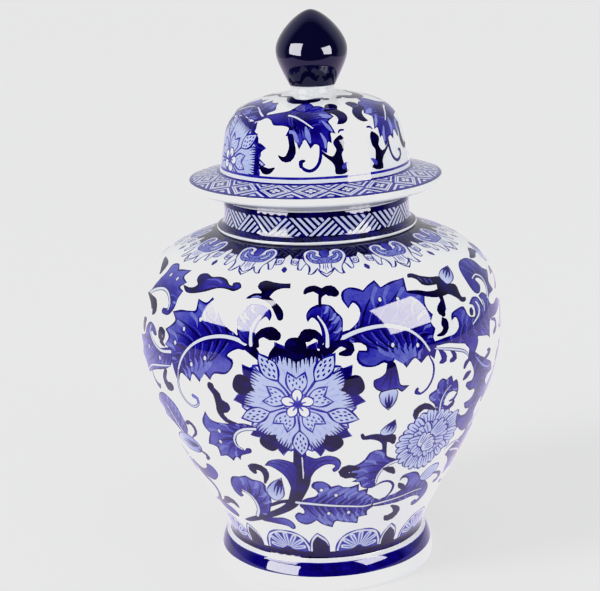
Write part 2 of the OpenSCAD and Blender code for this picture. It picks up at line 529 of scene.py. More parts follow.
def build(name, parts):
    """A closed mesh from (side, corners, paint) parts that meet along shared rows."""
    solids = [side.solid(corners[..., 0], corners[..., 1]) for side, corners, _ in parts]
    place, normal = (np.concatenate(rows).reshape(-1, 3) for rows in zip(*solids))
    paint = np.concatenate([part[2] for part in parts]).ravel()
    keys = np.round(place / MERGED).astype(np.int64)
    packed = (keys[:, 0] * SPREAD[0] + keys[:, 1]) * SPREAD[1] + keys[:, 2]
    _, first, index = np.unique(packed, return_index=True, return_inverse=True)
    faces = index.reshape(-1, 3)
    whole = (faces[:, 0] != faces[:, 1]) & (faces[:, 1] != faces[:, 2]) & (faces[:, 0] != faces[:, 2])
    faces = faces[whole]
    kept = np.repeat(whole, 3)
    at = place[first]
    mesh = bpy.data.meshes.new(name)
    mesh.vertices.add(len(at))
    mesh.vertices.foreach_set("co", at.astype(np.float32).ravel())
    mesh.loops.add(faces.size)
    mesh.loops.foreach_set("vertex_index", faces.astype(np.int32).ravel())
    mesh.polygons.add(len(faces))
    mesh.polygons.foreach_set("loop_start", np.arange(0, faces.size, 3, dtype=np.int32))
    mesh.update(calc_edges=True)
    mesh.polygons.foreach_set("use_smooth", np.ones(len(faces), bool))
    cobalt = mesh.attributes.new("cobalt", "FLOAT", "CORNER")
    cobalt.data.foreach_set("value", paint[kept].astype(np.float32))
    mesh.normals_split_custom_set(normal[kept])
    return put_in_scene(bpy.data.objects.new(name, mesh))


# ---------------------------------------------------------------- drawing

# Rows are (x, y) or (turn, v). A third value is a stroke's half width, or 1 for a sharp corner.

STEP = 2.8  # millimetres between the points of a stroke, at most
OUTLINE_STEP = 2.2  # the same for an outline
SHORT = 1.4  # a gap between two rows that needs no point of its own
THINNEST = 0.12  # the least half width of a stroke
ROUND_END = 0.35  # the half width above which a stroke's end is rounded
FAT_END = 1.2  # the half width above which a rounded end has more points
MITRE = 1.8  # how much further than its distance a corner may be moved
LEAF_EDGE = 0.88  # the tone of a leaf's outline
RIB_STEP, VEIN_STEP = 2.0, 5.0
LEAN = 0.75  # how far a leaf's veins lean along its rib
SHORTEST_VEIN, LONGEST_VEIN = 3.0, 34


def spline(points, closed=False, step=STEP, least=2):
    """Points of a smooth curve through rows."""
    p = np.asarray(points, float)
    n = len(p)
    out = []
    for i in range(n if closed else n - 1):
        b, c = p[i], p[(i + 1) % n]
        a = p[i - 1] if closed or i > 0 else 2 * b - c
        d = p[(i + 2) % n] if closed or i + 2 < n else 2 * c - b
        gap = math.dist(b[:2], c[:2])
        count = max(least if gap > SHORT else 1, math.ceil(gap / step))
        for t in np.arange(count) / count:
            out.append(0.5 * (2 * b + (c - a) * t + (2 * a - 5 * b + 4 * c - d) * t * t
                              + (3 * b - a - 3 * c + d) * t ** 3))
    if not closed:
        out.append(p[-1])
    return np.array(out)


def outline(points):
    """A closed outline through (x, y) rows; a row (x, y, 1) is a sharp corner."""
    p = [tuple(q) + (0,) * (3 - len(q)) for q in points]
    corners = [i for i, q in enumerate(p) if q[2]]
    xy = np.array([q[:2] for q in p], float)
    if not corners:
        return spline(xy, closed=True, step=OUTLINE_STEP)
    out = []
    for j, i in enumerate(corners):
        k = corners[(j + 1) % len(corners)]
        count = (k - i) % len(p) or len(p)
        run = xy[[(i + s) % len(p) for s in range(count + 1)]]
        out.append(spline(run, step=OUTLINE_STEP)[:-1])
    return np.vstack(out)


def across(steps):
    """Unit vectors to the left of some steps."""
    return np.stack([-steps[:, 1], steps[:, 0]], 1) / np.maximum(np.hypot(*steps.T), 1e-9)[:, None]


def moved(loop, by):
    """The closed loop (anticlockwise) moved inwards by a distance, with mitred corners held short."""
    n = across(loop - np.roll(loop, 1, 0)) + across(np.roll(loop, -1, 0) - loop)
    length = np.maximum(np.hypot(*n.T), 1e-9)
    n = n / length[:, None]
    lead = np.clip(2 / length, 1, MITRE)
    return loop + n * (by * lead)[:, None]


def flat_tone(value):
    return lambda x, y: np.full(np.shape(x), float(value))


def along(a, b, start, end):
    """Tone a at one point, b at another, even between them."""
    (x0, y0), (x1, y1) = start, end
    d2 = (x1 - x0) ** 2 + (y1 - y0) ** 2
    return lambda x, y: a + (b - a) * np.clip(((x - x0) * (x1 - x0) + (y - y0) * (y1 - y0)) / d2, 0, 1)


def away(a, b, line, reach):
    """Tone a on a line, b at a reach from it."""
    line = np.asarray(line, float)[:, :2]

    def tone(x, y):
        best = np.full(np.shape(x), 1e9)
        for p, q in zip(line[:-1], line[1:]):
            d = q - p
            t = np.clip(((x - p[0]) * d[0] + (y - p[1]) * d[1]) / max(d @ d, 1e-9), 0, 1)
            best = np.minimum(best, np.hypot(x - p[0] - t * d[0], y - p[1] - t * d[1]))
        t = np.clip(best / reach, 0, 1)
        return a + (b - a) * t * t * (3 - 2 * t)
    return tone


def in_degrees(tone, scale):
    """A tone of (turn, v) from a tone of (x, y) or a number."""
    return (lambda turn, v: tone(turn * scale, v)) if callable(tone) else flat_tone(tone)


def round_end(centre, out, half):
    """The points round the end of a stroke, anticlockwise from the side that out points to."""
    if half <= ROUND_END:
        return []
    count = 3 if half < FAT_END else 5
    a = math.atan2(out[1], out[0]) + math.pi * np.arange(1, count + 1) / (count + 1)
    return [centre + half * np.stack([np.cos(a), np.sin(a)], 1)]


def ribbon(path, half):
    """The outline of a stroke along a path with half widths."""
    d = np.gradient(path, axis=0)
    d /= np.maximum(np.hypot(*d.T), 1e-9)[:, None]
    n = np.stack([-d[:, 1], d[:, 0]], 1)
    left, right = path + n * half[:, None], path - n * half[:, None]
    far, near = round_end(path[-1], -n[-1], half[-1]), round_end(path[0], n[0], half[0])
    return np.vstack([right, *far, left[::-1], *near])


def unrolled(points, scale):
    """Rows in millimetres from rows in (turn, v)."""
    return [(q[0] * scale,) + tuple(q[1:]) for q in points]


class Painter:
    """An unrolled band of the surface. Its painted areas are kept in order, each with its own tone."""

    def __init__(self, radius):
        self.radius = radius
        self.areas = []

    def scale(self, points):
        """Millimetres to a degree at the mean height of some rows."""
        v = float(np.mean([q[1] for q in points]))
        return math.radians(1) * float(self.radius(v))

    def add(self, loop, scale, tone):
        """A loop in millimetres."""
        self.areas.append((turned_left(np.asarray(loop, float)) / [scale, 1.0], tone))

    def brush(self, points, tone=1.0, scale=None, step=STEP):
        """A stroke through (turn, v, half width) rows."""
        scale = scale or self.scale(points)
        rows = spline(unrolled(points, scale), step=step)
        self.add(ribbon(rows[:, :2], np.maximum(rows[:, 2], THINNEST)), scale, in_degrees(tone, scale))

    def line(self, points, width, tone, core=None):
        """A stroke of one width with pointed ends; core is the tone of a lighter middle."""
        scale = self.scale(points)
        last = len(points) - 1
        rows = [tuple(q[:2]) + (width / (4 if i in (0, last) else 2),) for i, q in enumerate(points)]
        self.brush(rows, tone, scale)
        if core is not None:
            self.brush([q[:2] + (q[2] * 0.5,) for q in rows], core, scale)

    def shape(self, points, fill, edge=0.95, width=0.9, scale=None):
        """A painted area with a darker outline of uneven width. Returns its loop."""
        scale = scale or self.scale(points)
        loop = turned_left(outline(unrolled(points, scale)))
        uneven = width * (0.5 + 0.18 * np.sin(np.arange(len(loop)) * 0.9 + points[0][0]))
        self.add(moved(loop, -uneven * 0.5), scale, flat_tone(edge))
        self.add(moved(loop, uneven), scale, in_degrees(fill, scale))
        return loop

    def dot(self, turn, v, r=0.9, tone=0.05, ring=0.95, tall=1.35, scale=None):
        """A small oval, and a ring round it unless ring is None."""
        scale = scale or self.scale([(turn, v)])
        ovals = [(9, r + 0.45, r * tall + 0.45, ring)] if ring is not None else []
        for count, wide, high, shade in ovals + [(7, r, r * tall, tone)]:
            t = np.arange(count) * 2 * math.pi / count
            loop = np.stack([turn * scale + wide * np.cos(t), v + high * np.sin(t)], 1)
            self.add(loop, scale, flat_tone(shade))

    def leaf(self, points, rib, dark=0.85, light=0.5, veins=7, dots=(), rib_width=1.5, reach=11):
        """A lobed leaf: dark along its pale rib and paler in its lobes, with streaks and pale dots."""
        scale = self.scale(points)
        dark, light = 0.36 + 0.5 * dark, 0.22 + 0.58 * light
        line = spline(unrolled([q[:2] for q in rib], scale), step=RIB_STEP)
        loop = self.shape(points, away(dark, light, line, reach), LEAF_EDGE, 1.4, scale)
        self.streaks(line, loop, dark, light, 3 * veins, scale)
        if rib_width:
            thinning = 0.55 / max(len(rib) - 1, 1)
            rows = [(q[0], q[1], rib_width / 2 * (1 - thinning * j)) for j, q in enumerate(rib)]
            self.brush([(turn, v, half + 0.45) for turn, v, half in rows], LEAF_EDGE, scale)
            self.brush(rows, 0.06, scale)
        for turn, v in dots:
            self.dot(turn, v, scale=scale)

    def streaks(self, line, loop, dark, light, count, scale):
        """Streaks to both sides of a leaf's rib, by turns dark, pale and faint."""
        d = np.gradient(line, axis=0)
        d /= np.maximum(np.hypot(*d.T), 1e-9)[:, None]
        for k in range(count):
            i = min(int((k + 0.4) / count * 0.94 * (len(line) - 1)), len(line) - 2)
            for side in (1, -1):
                go = d[i] * LEAN + np.array([-d[i, 1], d[i, 0]]) * side
                go /= np.hypot(*go)
                if not holds(loop, line[i] + 1.6 * go):
                    continue
                far = reach_of(loop, line[i], go)
                if not SHORTEST_VEIN <= far <= LONGEST_VEIN:
                    continue
                start, stop, half, tone = ((0.06, 0.86, min(0.6, 0.3 + far * 0.03), min(dark + 0.14, 0.95)),
                                           (0.9, 0.4, min(1.1, 0.3 + far * 0.05), light - 0.1),
                                           (0.12, 0.6, 0.4, dark - 0.26))[k % 3]
                bend = d[i] * far * 0.10
                rows = [(line[i] + go * far * share + bend * sag, half * taper) for share, sag, taper in
                        ((start, -0.2, 1.0), ((start + stop) / 2, -0.5, 0.8), (stop, 1.0, 0.1))]
                self.brush([(at[0] / scale, at[1], wide) for at, wide in rows], tone, scale, step=VEIN_STEP)


def holds(loop, point):
    """Whether a point lies inside a loop."""
    p, q = loop, np.roll(loop, -1, 0)
    crossed = (p[:, 1] > point[1]) != (q[:, 1] > point[1])
    p, q = p[crossed], q[crossed]
    return bool(np.sum(p[:, 0] + (point[1] - p[:, 1]) * (q - p)[:, 0] / (q - p)[:, 1] > point[0]) % 2)


def reach_of(loop, start, go):
    """How far a ray runs inside a loop."""
    e = np.roll(loop, -1, 0) - loop
    w = loop - start
    det = go[0] * -e[:, 1] + go[1] * e[:, 0]
    det = np.where(np.abs(det) < 1e-9, 1e-9, det)
    t = (w[:, 0] * -e[:, 1] + w[:, 1] * e[:, 0]) / det
    u = (go[0] * w[:, 1] - go[1] * w[:, 0]) / det
    ok = (u >= 0) & (u <= 1) & (t > 0.3)
    return float(t[ok].min()) if ok.any() else 0.0


CURLS_MIRROR = -9.4  # the turn about which the two curled leaves mirror each other


def comma(page, *rows, tone=1.0):
    """A free stroke through (turn, v, half width) rows."""
    page.brush(rows, tone)


def at_turn(points, turn, way=1):
    """Rows moved round to a turn; way -1 reflects them."""
    return [(turn + way * q[0],) + tuple(q[1:]) for q in points]


def main_flower(page, a, v, s=1.0, spin=0, balls=True):
    """Five white petals, spotted hearts and wide pale petals with dark ends; spotted sepals between them."""
    k = page.scale([(a, v)])
    c = np.array([a * k, v])

    def put(points, turn, tone, kind=None, **kw):
        """points in a petal's own frame in mm: x out from the centre, y to its left."""
        turn = math.radians(turn + spin)
        ca, sa = math.cos(turn), math.sin(turn)
        rows = []
        for q in points:
            x, y = q[0] * s, q[1] * s
            width = (q[2] * s,) if kind == 'brush' else tuple(q[2:])
            rows.append((((c[0] + x * ca - y * sa)) / k, c[1] + x * sa + y * ca) + width)
        if kind == 'brush':
            page.brush(rows, tone, k)
        else:
            page.shape(rows, tone, scale=k, **kw)

    wide = [
        (2.5, 0), (7, 5.1, 1), (13.5, 9.8, 1), (19, 13.4), (24, 13.6), (27, 12.2, 1), (27.6, 10.6),
        (32.2, 10.4, 1), (30.4, 6), (28.6, 4.4, 1), (30, 2), (30, 0)]
    fringe = (
        (-10.5, 22.6), (-9.1, 21.4), (-7.5, 23.2), (-5.9, 21.6), (-4.4, 23.6), (-2.8, 22.6), (-1, 24),
        (0.9, 22), (2.7, 24), (4.2, 22.2), (5.9, 23.4), (7.4, 21.2), (9, 22.8), (10.4, 21.8))
    for i in range(5):
        turn = 90 + 72 * i
        put(both_sides(wide), turn, 0.16, edge=0.66, width=1.15)
        end = [
            (26.4, 0), (26.2, 4), (26.6, 8), (26.2, 11.4), (27.6, 10.6), (32.2, 9.6, 1), (30.2, 6.6),
            (28.8, 5.2, 1), (30, 2), (30, 0)]
        put(both_sides(end), turn, 0.9, edge=0.9, width=0.3)
        for y, start in fringe:
            put(
                [(start, y * 0.9, 0.1), ((start + 27) / 2, y * 0.97, 0.4), (27.2, y, 0.75)], turn, 0.82,
                'brush')
        ball = [(22.6, 0, 1), (24.6, 1.6), (26.6, 4.6), (29, 5.4), (32, 5.2), (34.2, 3.4), (34.8, 0)]
        if balls:
            put(both_sides(ball), turn, 1.0, edge=1.0, width=0.3)
        for y, start, stop in ((-4.6, 15.5, 19), (-1.5, 16, 21), (2.4, 15.4, 20), (6.4, 14.5, 18.5)):
            put([(start, y * 0.7, 0.12), (stop, y, 0.4)], turn, 0.24, 'brush')
        for side in (-1, 1):
            slip = [
                (12.4, 8.8 * side, 1), (18, 9.2 * side), (23, 10.2 * side), (27, 12.2 * side, 1),
                (22.4, 13.2 * side), (17, 12 * side)]
            put(slip, turn, 0.08, edge=0.68, width=0.95)
    for i in range(5):
        turn = 54 + 72 * i
        put(
            both_sides([(15.2, 0, 1), (19.2, 3.4), (23.6, 4.6), (28, 3.2), (32.6, 0, 1)]), turn, 0.14,
            edge=0.76, width=1.25)
        for x, y in (
                (18.6, 0.2), (20.6, 1.7), (20.8, -1.6), (22.6, 0), (24, 2.5), (23.8, -2.6), (25, 0.5),
                (26.6, 1.7), (26.4, -1.5), (28.6, 0.1)):
            put([(x - 0.5, y, 0.45), (x + 0.5, y, 0.45)], turn, 0.76, 'brush')
    for i in range(5):
        turn = 90 + 72 * i
        put(
            both_sides([(4, 0), (6.4, 2.4), (9.6, 4.7), (13, 5.4), (17.4, 4.4, 1), (15.6, 1.7),
              (14.2, 0, 1)]), turn, 0.14, edge=0.68, width=1.15)
        for x, y in (
                (8.4, 0.8), (9.6, -1.5), (10.6, 1.9), (11.6, 0), (12.2, -3), (12.8, 3.4), (13.2, 1.4),
                (13.8, -1.8), (15, 3.6), (15, -3.6)):
            put([(x - 0.35, y, 0.42), (x + 0.35, y, 0.42)], turn, 0.66, 'brush')
    for i in range(5):
        put(
            both_sides([(1.4, 0), (3.2, 2.2), (5.8, 2.9), (8, 1.6), (8.4, 0)]), 90 + 72 * i, 0.01,
            edge=0.66, width=0.95)
    for i in range(5):
        put([(0, 0, 0.8), (2.6, 0, 0.6), (4.4, 0, 0.2)], 54 + 72 * i, 0.66, 'brush')
        put([(0, 0, 0.6), (3.0, 0, 0.5), (4.6, 0, 0.2)], 90 + 72 * i, 0.5, 'brush')
    put([(-1.2, 0, 1.3), (1.2, 0, 1.3)], 0, 0.66, 'brush')


def both_sides(half):
    """A closed outline from its left half; rows with y 0 lie on the axis."""
    return list(half) + [(q[0], -q[1]) + tuple(q[2:]) for q in half[::-1] if q[1] > 0]


def great_left_leaf(page):
    """Great left leaf whose rib runs on into a tendril."""
    pts = [
        (-25.5, 142.5), (-28, 145), (-31, 149.5), (-33, 154), (-36, 160, 1), (-37.8, 156.6),
        (-41.5, 158, 1), (-41.2, 152), (-44, 151), (-47.5, 150.4), (-51.5, 148.5, 1), (-49.6, 145),
        (-50.5, 142.5), (-54.2, 138.5, 1), (-52.2, 135.2), (-54.2, 130.5, 1), (-51.5, 128.5), (-51, 123),
        (-49.8, 117), (-48.6, 112, 1), (-47, 118), (-45.3, 117.5), (-43, 114.5, 1), (-41.6, 119.5),
        (-39, 115.5, 1), (-37.2, 121), (-34.8, 118, 1), (-33, 121.8), (-29, 122.5), (-26.8, 126.5),
        (-26.8, 130), (-28.6, 131.8), (-27, 134.5), (-24.5, 136.5), (-22.5, 136)]
    page.leaf(
        pts,
        [(-22.5, 139), (-26, 141), (-31, 141.3), (-37, 138.6), (-42, 133.5), (-45.8, 126.5), (-48, 119)],
        0.92, 0.55, 9, [(-38.8, 148), (-45.2, 141.5), (-36.3, 128.8), (-41.8, 124), (-49, 133.2)], 2.2,
        reach=16)
    page.line(
        [(-48, 119), (-48.9, 112), (-48.6, 106), (-46.4, 101), (-43.5, 99.6), (-41.3, 102), (-41.2, 105),
         (-42.8, 106.6)], 1.7, 0.85, core=0.1)
    comma(page, (-41.2, 103, 0.9), (-41.3, 105.3, 1.2), (-42.9, 106.3, 1.2), tone=0.45)


def great_right_leaf(page):
    """Great right leaf with a lobe that curls back at the top left."""
    pts = [
        (5.5, 143.5), (9, 146), (11.4, 149.5), (12.4, 154), (12, 157.6), (10.4, 159.8), (8.8, 156.8, 1),
        (7.3, 161.5), (7.6, 165.6), (10, 167.8), (12.8, 166.6), (14.4, 165.2, 1), (16.4, 168),
        (19.3, 170.5, 1), (20.6, 166, 1), (25, 168.4), (30.2, 169.6, 1), (29.4, 165), (29.2, 161.6, 1),
        (32.5, 160.6), (34.8, 158.4), (34, 154), (34.6, 150), (36, 147.6, 1), (34.8, 144), (36, 140.4, 1),
        (35, 136), (36, 132), (35, 125.6, 1), (33, 128), (30.4, 125, 1), (28.2, 128), (25.4, 124, 1),
        (23.6, 128), (21.8, 129.6), (20.6, 126.6), (18.4, 128.4), (15.4, 126.6), (12, 127.6), (10.4, 131),
        (11, 135.2), (13.4, 134.6), (13.2, 138), (10.6, 139.6), (6, 139.5)]
    page.leaf(
        pts, [(6, 142), (11, 145), (17, 146.4), (22, 145.4), (27, 142.2), (31, 136.4), (33.5, 130)], 0.95,
        0.58, 9, [(19.2, 159.6), (25.2, 158.6), (21.3, 136.2), (29.4, 134)], 2.2, reach=17)


def curled_leaves(page):
    """Two leaves whose tips curl down, mirrored about the flower's axis."""
    pts = [
        (1.2, 139.5), (0.6, 146), (-0.6, 151), (-2.4, 153.4), (-3.6, 151.2, 1), (-4, 154), (-2.8, 157.2),
        (0.2, 159.2), (3.4, 158.4), (4.8, 155), (6.6, 151.6), (6.4, 146.5), (6, 143), (4.5, 140)]
    rib = [(1.9, 138.5), (2, 144), (1.2, 149), (-0.6, 153.4)]
    for about, way in ((0, 1), (2 * CURLS_MIRROR, -1)):
        page.leaf(at_turn(pts, about, way), at_turn(rib, about, way), 0.9, 0.45, 5, (), 1.8, reach=9)


def stems(page):
    """The main stem and the branches that the great leaves grow from."""
    comma(page, (-17.4, 131, 1.2), (-19.4, 134.6, 2.2), (-21.4, 138, 3.0), (-24.6, 141, 2.2))
    comma(page, (-0.4, 130.6, 1.6), (1.2, 135.6, 3.0), (4, 140, 3.2), (8, 143.5, 2.4), (11, 145, 1.2))
    comma(
        page, (-8, 79, 2.6), (-8, 66, 3.9), (-8.8, 57, 4.3), (-11, 48, 3.8), (-13.5, 40.6, 3.1),
        (-17, 35.8, 2.6), (-23, 30.8, 2.2), (-30, 26.2, 2.0), (-37, 22.2, 1.8), (-42, 19.6, 1.3),
        (-44.5, 18.8, 0.5), tone=0.97)
    page.line([(-7.4, 76), (-7.4, 68), (-7.8, 60)], 0.9, 0.05)
    comma(page, (-13, 42, 1.7), (-18, 41, 1.3), (-22, 38.4, 1.2), (-27, 34.5, 0.8), tone=0.97)
    comma(page, (-9, 40.5, 0.6), (-12, 41.5, 1.4), tone=0.97)


def curls_over_flower(page):
    """Three dark curls between the great leaves."""
    comma(page, (-0.4, 138.5, 1.3), (0, 142, 1.5), (-1.6, 144.6, 2.2), (-4, 144, 3.4), (-5.2, 142.6, 2.4))
    comma(
        page, (-18.8, 138.5, 1.3), (-19, 142, 1.5), (-17.2, 144.8, 2.2), (-14.6, 144.8, 3.5),
        (-13, 143.8, 2.6))
    comma(page, (3.6, 139.4, 1.6), (6.4, 139.6, 1.8), (8.4, 137.6, 2.2), (8.0, 135, 2.2), (5.6, 134.4, 1.0))


def forked_curls(page):
    """The two forked curls above the flower."""
    comma(page, (0.2, 158.5, 0.8), (0.2, 163, 0.9), (1.4, 166.4, 2.2), (3.6, 166.8, 3.4), (5.0, 165.4, 2.4))
    comma(page, (1.0, 165.8, 2.0), (-1.6, 168.4, 2.0), (-3.8, 167.4, 1.8), (-4.6, 165.8, 0.9))
    page.shape(
        [(-21, 169), (-20.6, 171.8), (-18.6, 173.2), (-16, 172.2), (-13, 171.6), (-9.8, 171.6, 1),
         (-9.6, 168.6, 1), (-12.6, 168.4), (-14.8, 166.6), (-16, 163.6), (-17, 161, 1), (-20, 163.4),
         (-19, 165.6), (-20, 167.2)], 1.0, 1.0, 0.4)
    comma(
        page, (-23.4, 161.8, 0.8), (-21.4, 163.6, 1.3), (-18.6, 163.4, 1.5), (-16, 161.4, 1.6),
        (-13.8, 158.4, 1.7), (-12.4, 155.2, 2.1), (-12, 152.8, 1.6))
    page.line([(-22.2, 162.4), (-20.4, 163.2), (-18.8, 162.8)], 1.2, 0.4)


def top_left_scroll(page):
    """A long dark scroll under the shoulder border."""
    page.shape(
        [(-51.2, 163.2, 1), (-48, 160.4), (-44, 160.8), (-40, 163), (-36, 165.6), (-32, 166), (-29, 165.4),
         (-27, 167.6), (-28.4, 170.2), (-30.4, 169.6), (-30.2, 167.8, 1), (-32, 168.4), (-34, 171),
         (-37.5, 172.4), (-41, 171.4), (-44.4, 173), (-47, 171.4), (-46.4, 168), (-44.6, 166),
         (-45.6, 163.6), (-48.6, 162.6)], along(1.0, 0.72, (-44 * 1.55, 167), (-39 * 1.55, 168)), 1.0, 1.5)
    page.line([(-42, 169.4), (-38, 170.4), (-35, 168.8)], 1.2, 0.5)
    page.line([(-41, 166.6), (-38, 167.4), (-35.6, 167)], 0.8, 0.9)


def top_left_leaf(page):
    """A leaf with a hooked rib, and the dark drops round it."""
    page.leaf(
        [(-70, 152.4), (-66, 156.4), (-61, 158.4), (-57, 156.8), (-54.6, 152), (-55, 148.8), (-57.4, 148.2),
         (-57.6, 146), (-54, 146.2), (-51.4, 151), (-51, 156), (-50, 160, 1), (-52.6, 161.6),
         (-50.5, 165, 1), (-54, 167.6), (-53, 172.4, 1), (-57, 171.4), (-60, 170.2, 1), (-63.5, 173.2),
         (-67, 171.4), (-66.2, 166), (-67.6, 160)],
        [(-70.5, 152), (-66, 155.8), (-61, 157.8), (-57, 156.4), (-54.4, 152), (-54.6, 148.6)], 0.85, 0.55,
        7, [(-62, 166), (-56.6, 165.4)], 1.6, reach=12)
    comma(
        page, (-72, 151.4, 0.6), (-67.5, 150, 1.8), (-64.4, 148, 3.6), (-63.4, 145.4, 3.4),
        (-64, 143.2, 1.0))
    comma(page, (-80, 171, 0.7), (-75, 169.5, 2.2), (-71.6, 167.6, 2.8), (-70.4, 164.6, 1.6))
    comma(
        page, (-57.6, 133.4, 2.0), (-57.2, 136, 2.8), (-55.4, 136, 2.0), (-55.6, 132.8, 1.0),
        (-57.0, 131, 1.8), (-54.6, 129.4, 0.6))


def left_leaf(page):
    """A leaf with a long pale rib that runs back to the great left leaf."""
    page.leaf(
        [(-52, 129), (-50.9, 124), (-52.6, 119), (-58, 115.6), (-64, 112.6), (-70, 108.4, 1), (-71.4, 114),
         (-75, 117, 1), (-73, 122), (-75.6, 127, 1), (-70, 129), (-68.4, 134), (-65, 138), (-61.6, 137.2),
         (-60, 133.6), (-61.6, 132.8), (-63.4, 134.4), (-64.2, 131.8), (-61.6, 128.2), (-57, 127)],
        [(-51.5, 127.4), (-57, 126), (-62, 128.6), (-65, 133), (-64.4, 136.6)], 0.8, 0.6, 6,
        [(-66, 124.5), (-58, 121.6)], 1.6, reach=10)
    page.line([(-52, 119.6), (-58, 117.4), (-65, 114.6), (-70, 110)], 1.9, 0.8, core=0.06)
    comma(page, (-55, 116, 1.4), (-56.6, 111, 2.0), (-55.4, 107, 3.0), (-53.4, 107.6, 2.4), tone=0.95)
    comma(page, (-69, 138, 1.0), (-70.6, 136, 3.0), (-71.2, 132, 2.0))
    comma(page, (-66, 110, 0.8), (-65, 106, 1.2), (-62.4, 103.6, 1.8), (-61.4, 105, 0.8), tone=0.9)


def flower_and_crown(page):
    """The great flower and the dark crown over its top petal."""
    main_flower(page, -7.3, 108.3)
    page.shape(
        [(-15.6, 131, 1), (-15, 135), (-13.6, 138.4, 1), (-11.6, 137.4), (-9.8, 136.2, 1), (-8.8, 139),
         (-7.2, 141), (-5.6, 139), (-4.8, 136.4, 1), (-2.6, 137.2), (0, 136, 1), (0.4, 130.8, 1),
         (-1.4, 133.6), (-3.6, 133.4), (-5.2, 132.4), (-7.2, 130.6, 1), (-8.8, 132.4), (-10.6, 133.4),
         (-12.8, 133.8)], 1.0, 1.0, 0.4)
    for a, low in (
            (-14, 131), (-12.6, 129.6), (-11.2, 131.2), (-9.8, 128.8), (-8.4, 127.6), (-7.2, 125.2),
            (-6, 128), (-4.8, 129.4), (-3.4, 128.2), (-2.2, 130.4)):
        comma(page, (a, low, 0.12), (a, (low + 134) / 2, 0.45), (a, 134.4, 0.8), tone=0.95)


def lower_left_leaf(page):
    """A dark flame and a leaf to the left of the flower."""
    page.shape(
        [(-35.6, 116.4), (-34, 115.8), (-33.6, 113.8, 1), (-31.8, 111), (-31.4, 107.6), (-29.4, 106),
         (-28.9, 103), (-30.4, 100.4), (-31.8, 99.6), (-30.4, 96.4), (-27, 94.2), (-30.6, 93.6),
         (-32.6, 95.6), (-34, 99.8), (-34, 105), (-34.4, 110), (-36, 113.4)], 0.97, 1.0, 0.6)
    page.leaf(
        [(-39.2, 98, 1), (-38, 94.2), (-35, 92.6), (-30, 93.4), (-25, 94.6), (-21.4, 93.2), (-23, 91.4),
         (-26.6, 90), (-28.8, 86.6), (-29.8, 82.6), (-29.2, 78.6), (-27.4, 76.6), (-26.4, 78.4),
         (-25, 78.4), (-25.2, 76), (-27.6, 74.4), (-29.6, 73), (-30.4, 70, 1), (-31.6, 71.6),
         (-33.6, 68.4, 1), (-35.6, 71), (-39, 69.4, 1), (-38.5, 74), (-39.4, 76.2), (-42.4, 76.6, 1),
         (-41, 81), (-39.8, 84.6, 1), (-41.4, 88), (-41.4, 92)],
        [(-21.6, 92.2), (-25.6, 91.2), (-28.6, 88.2), (-30.2, 84), (-30, 79.6), (-28, 77.4)], 0.85, 0.55, 7,
        [(-35.4, 87.4), (-36.4, 80)], 1.5, reach=12)


def sickle_leaves(page):
    """The two curved leaves at the main stem."""
    page.shape(
        [(-21, 68, 1), (-19, 71.6), (-15.5, 73.2), (-12, 72), (-10, 70), (-9.8, 62), (-11, 54),
         (-13.4, 44, 1), (-13, 52), (-13.6, 58), (-15.2, 63), (-17.6, 66.6), (-19.5, 67.9)],
        along(0.6, 0.85, (-18 * 1.4, 70), (-11 * 1.4, 60)), 0.95)
    page.shape(
        [(-6.4, 76), (-3, 74.2), (1, 76.2), (4.2, 74.4), (5.6, 70.4), (4.9, 66.4), (3.4, 64.6), (2.8, 66.6),
         (3.8, 68.6), (2.4, 70.2), (0, 70), (-3, 66.2), (-5, 61), (-6.6, 54, 1), (-7.2, 65)],
        along(0.9, 0.6, (-6 * 1.4, 62), (3 * 1.4, 74)), 0.95)
    for rows in (
            [(-19, 70), (-14.6, 69), (-11.6, 63)], [(-17, 71.6), (-13, 70), (-10.8, 64)],
            [(-14, 66), (-12, 60), (-11.8, 54)], [(-5.6, 64), (-3, 70), (1, 73.6)],
            [(-5.4, 70), (-2.6, 72.4), (3.4, 72.6)]):
        page.line(rows, 0.8, 0.95)


def lower_left_sprig(page):
    """A hook, a leaf, a bud and a small blade at the lower left."""
    comma(
        page, (-26.2, 62.2, 1.6), (-26.6, 65, 2.6), (-24.4, 66.2, 2.4), (-22.2, 64.4, 2.3),
        (-21.8, 60, 1.7), (-23.2, 54.6, 0.7))
    page.leaf(
        [(-33.4, 26), (-31.4, 30.6), (-31.2, 37), (-33, 42.6), (-35.4, 44.6), (-37, 43.6), (-36.6, 41, 1),
         (-38.6, 39.4), (-40.6, 43), (-40.6, 48), (-39, 52.6), (-37, 55.2), (-34, 56), (-31, 57.6),
         (-28.6, 55.6), (-25, 55.2), (-23.6, 52.4), (-24.2, 48.6), (-23, 44), (-23.6, 39), (-25, 34),
         (-27, 29.4)],
        [(-34, 25.6), (-31.6, 31), (-31.2, 37.5), (-32.8, 43), (-35.6, 45.4)], 0.85, 0.5, 7, (), 1.8,
        reach=11)
    bud(
        page,
        [(-16, 59.6, 1), (-19.5, 56.6), (-22, 52.6), (-23.6, 48.6), (-23, 43.6), (-21, 41.4), (-18.6, 42.6),
         (-16.6, 46), (-16, 52)], (-20.6, 43), (-16.6, 58))
    page.shape(
        [(-30, 25.6), (-24, 26.6), (-19.5, 27.2), (-16.4, 25.2), (-15.2, 22), (-15.6, 19.2), (-17.2, 19),
         (-18.6, 20.6), (-21.6, 21.6), (-26, 22), (-32, 22.6)],
        along(0.9, 0.55, (-29 * 1.15, 24), (-19 * 1.15, 24)), 0.95)


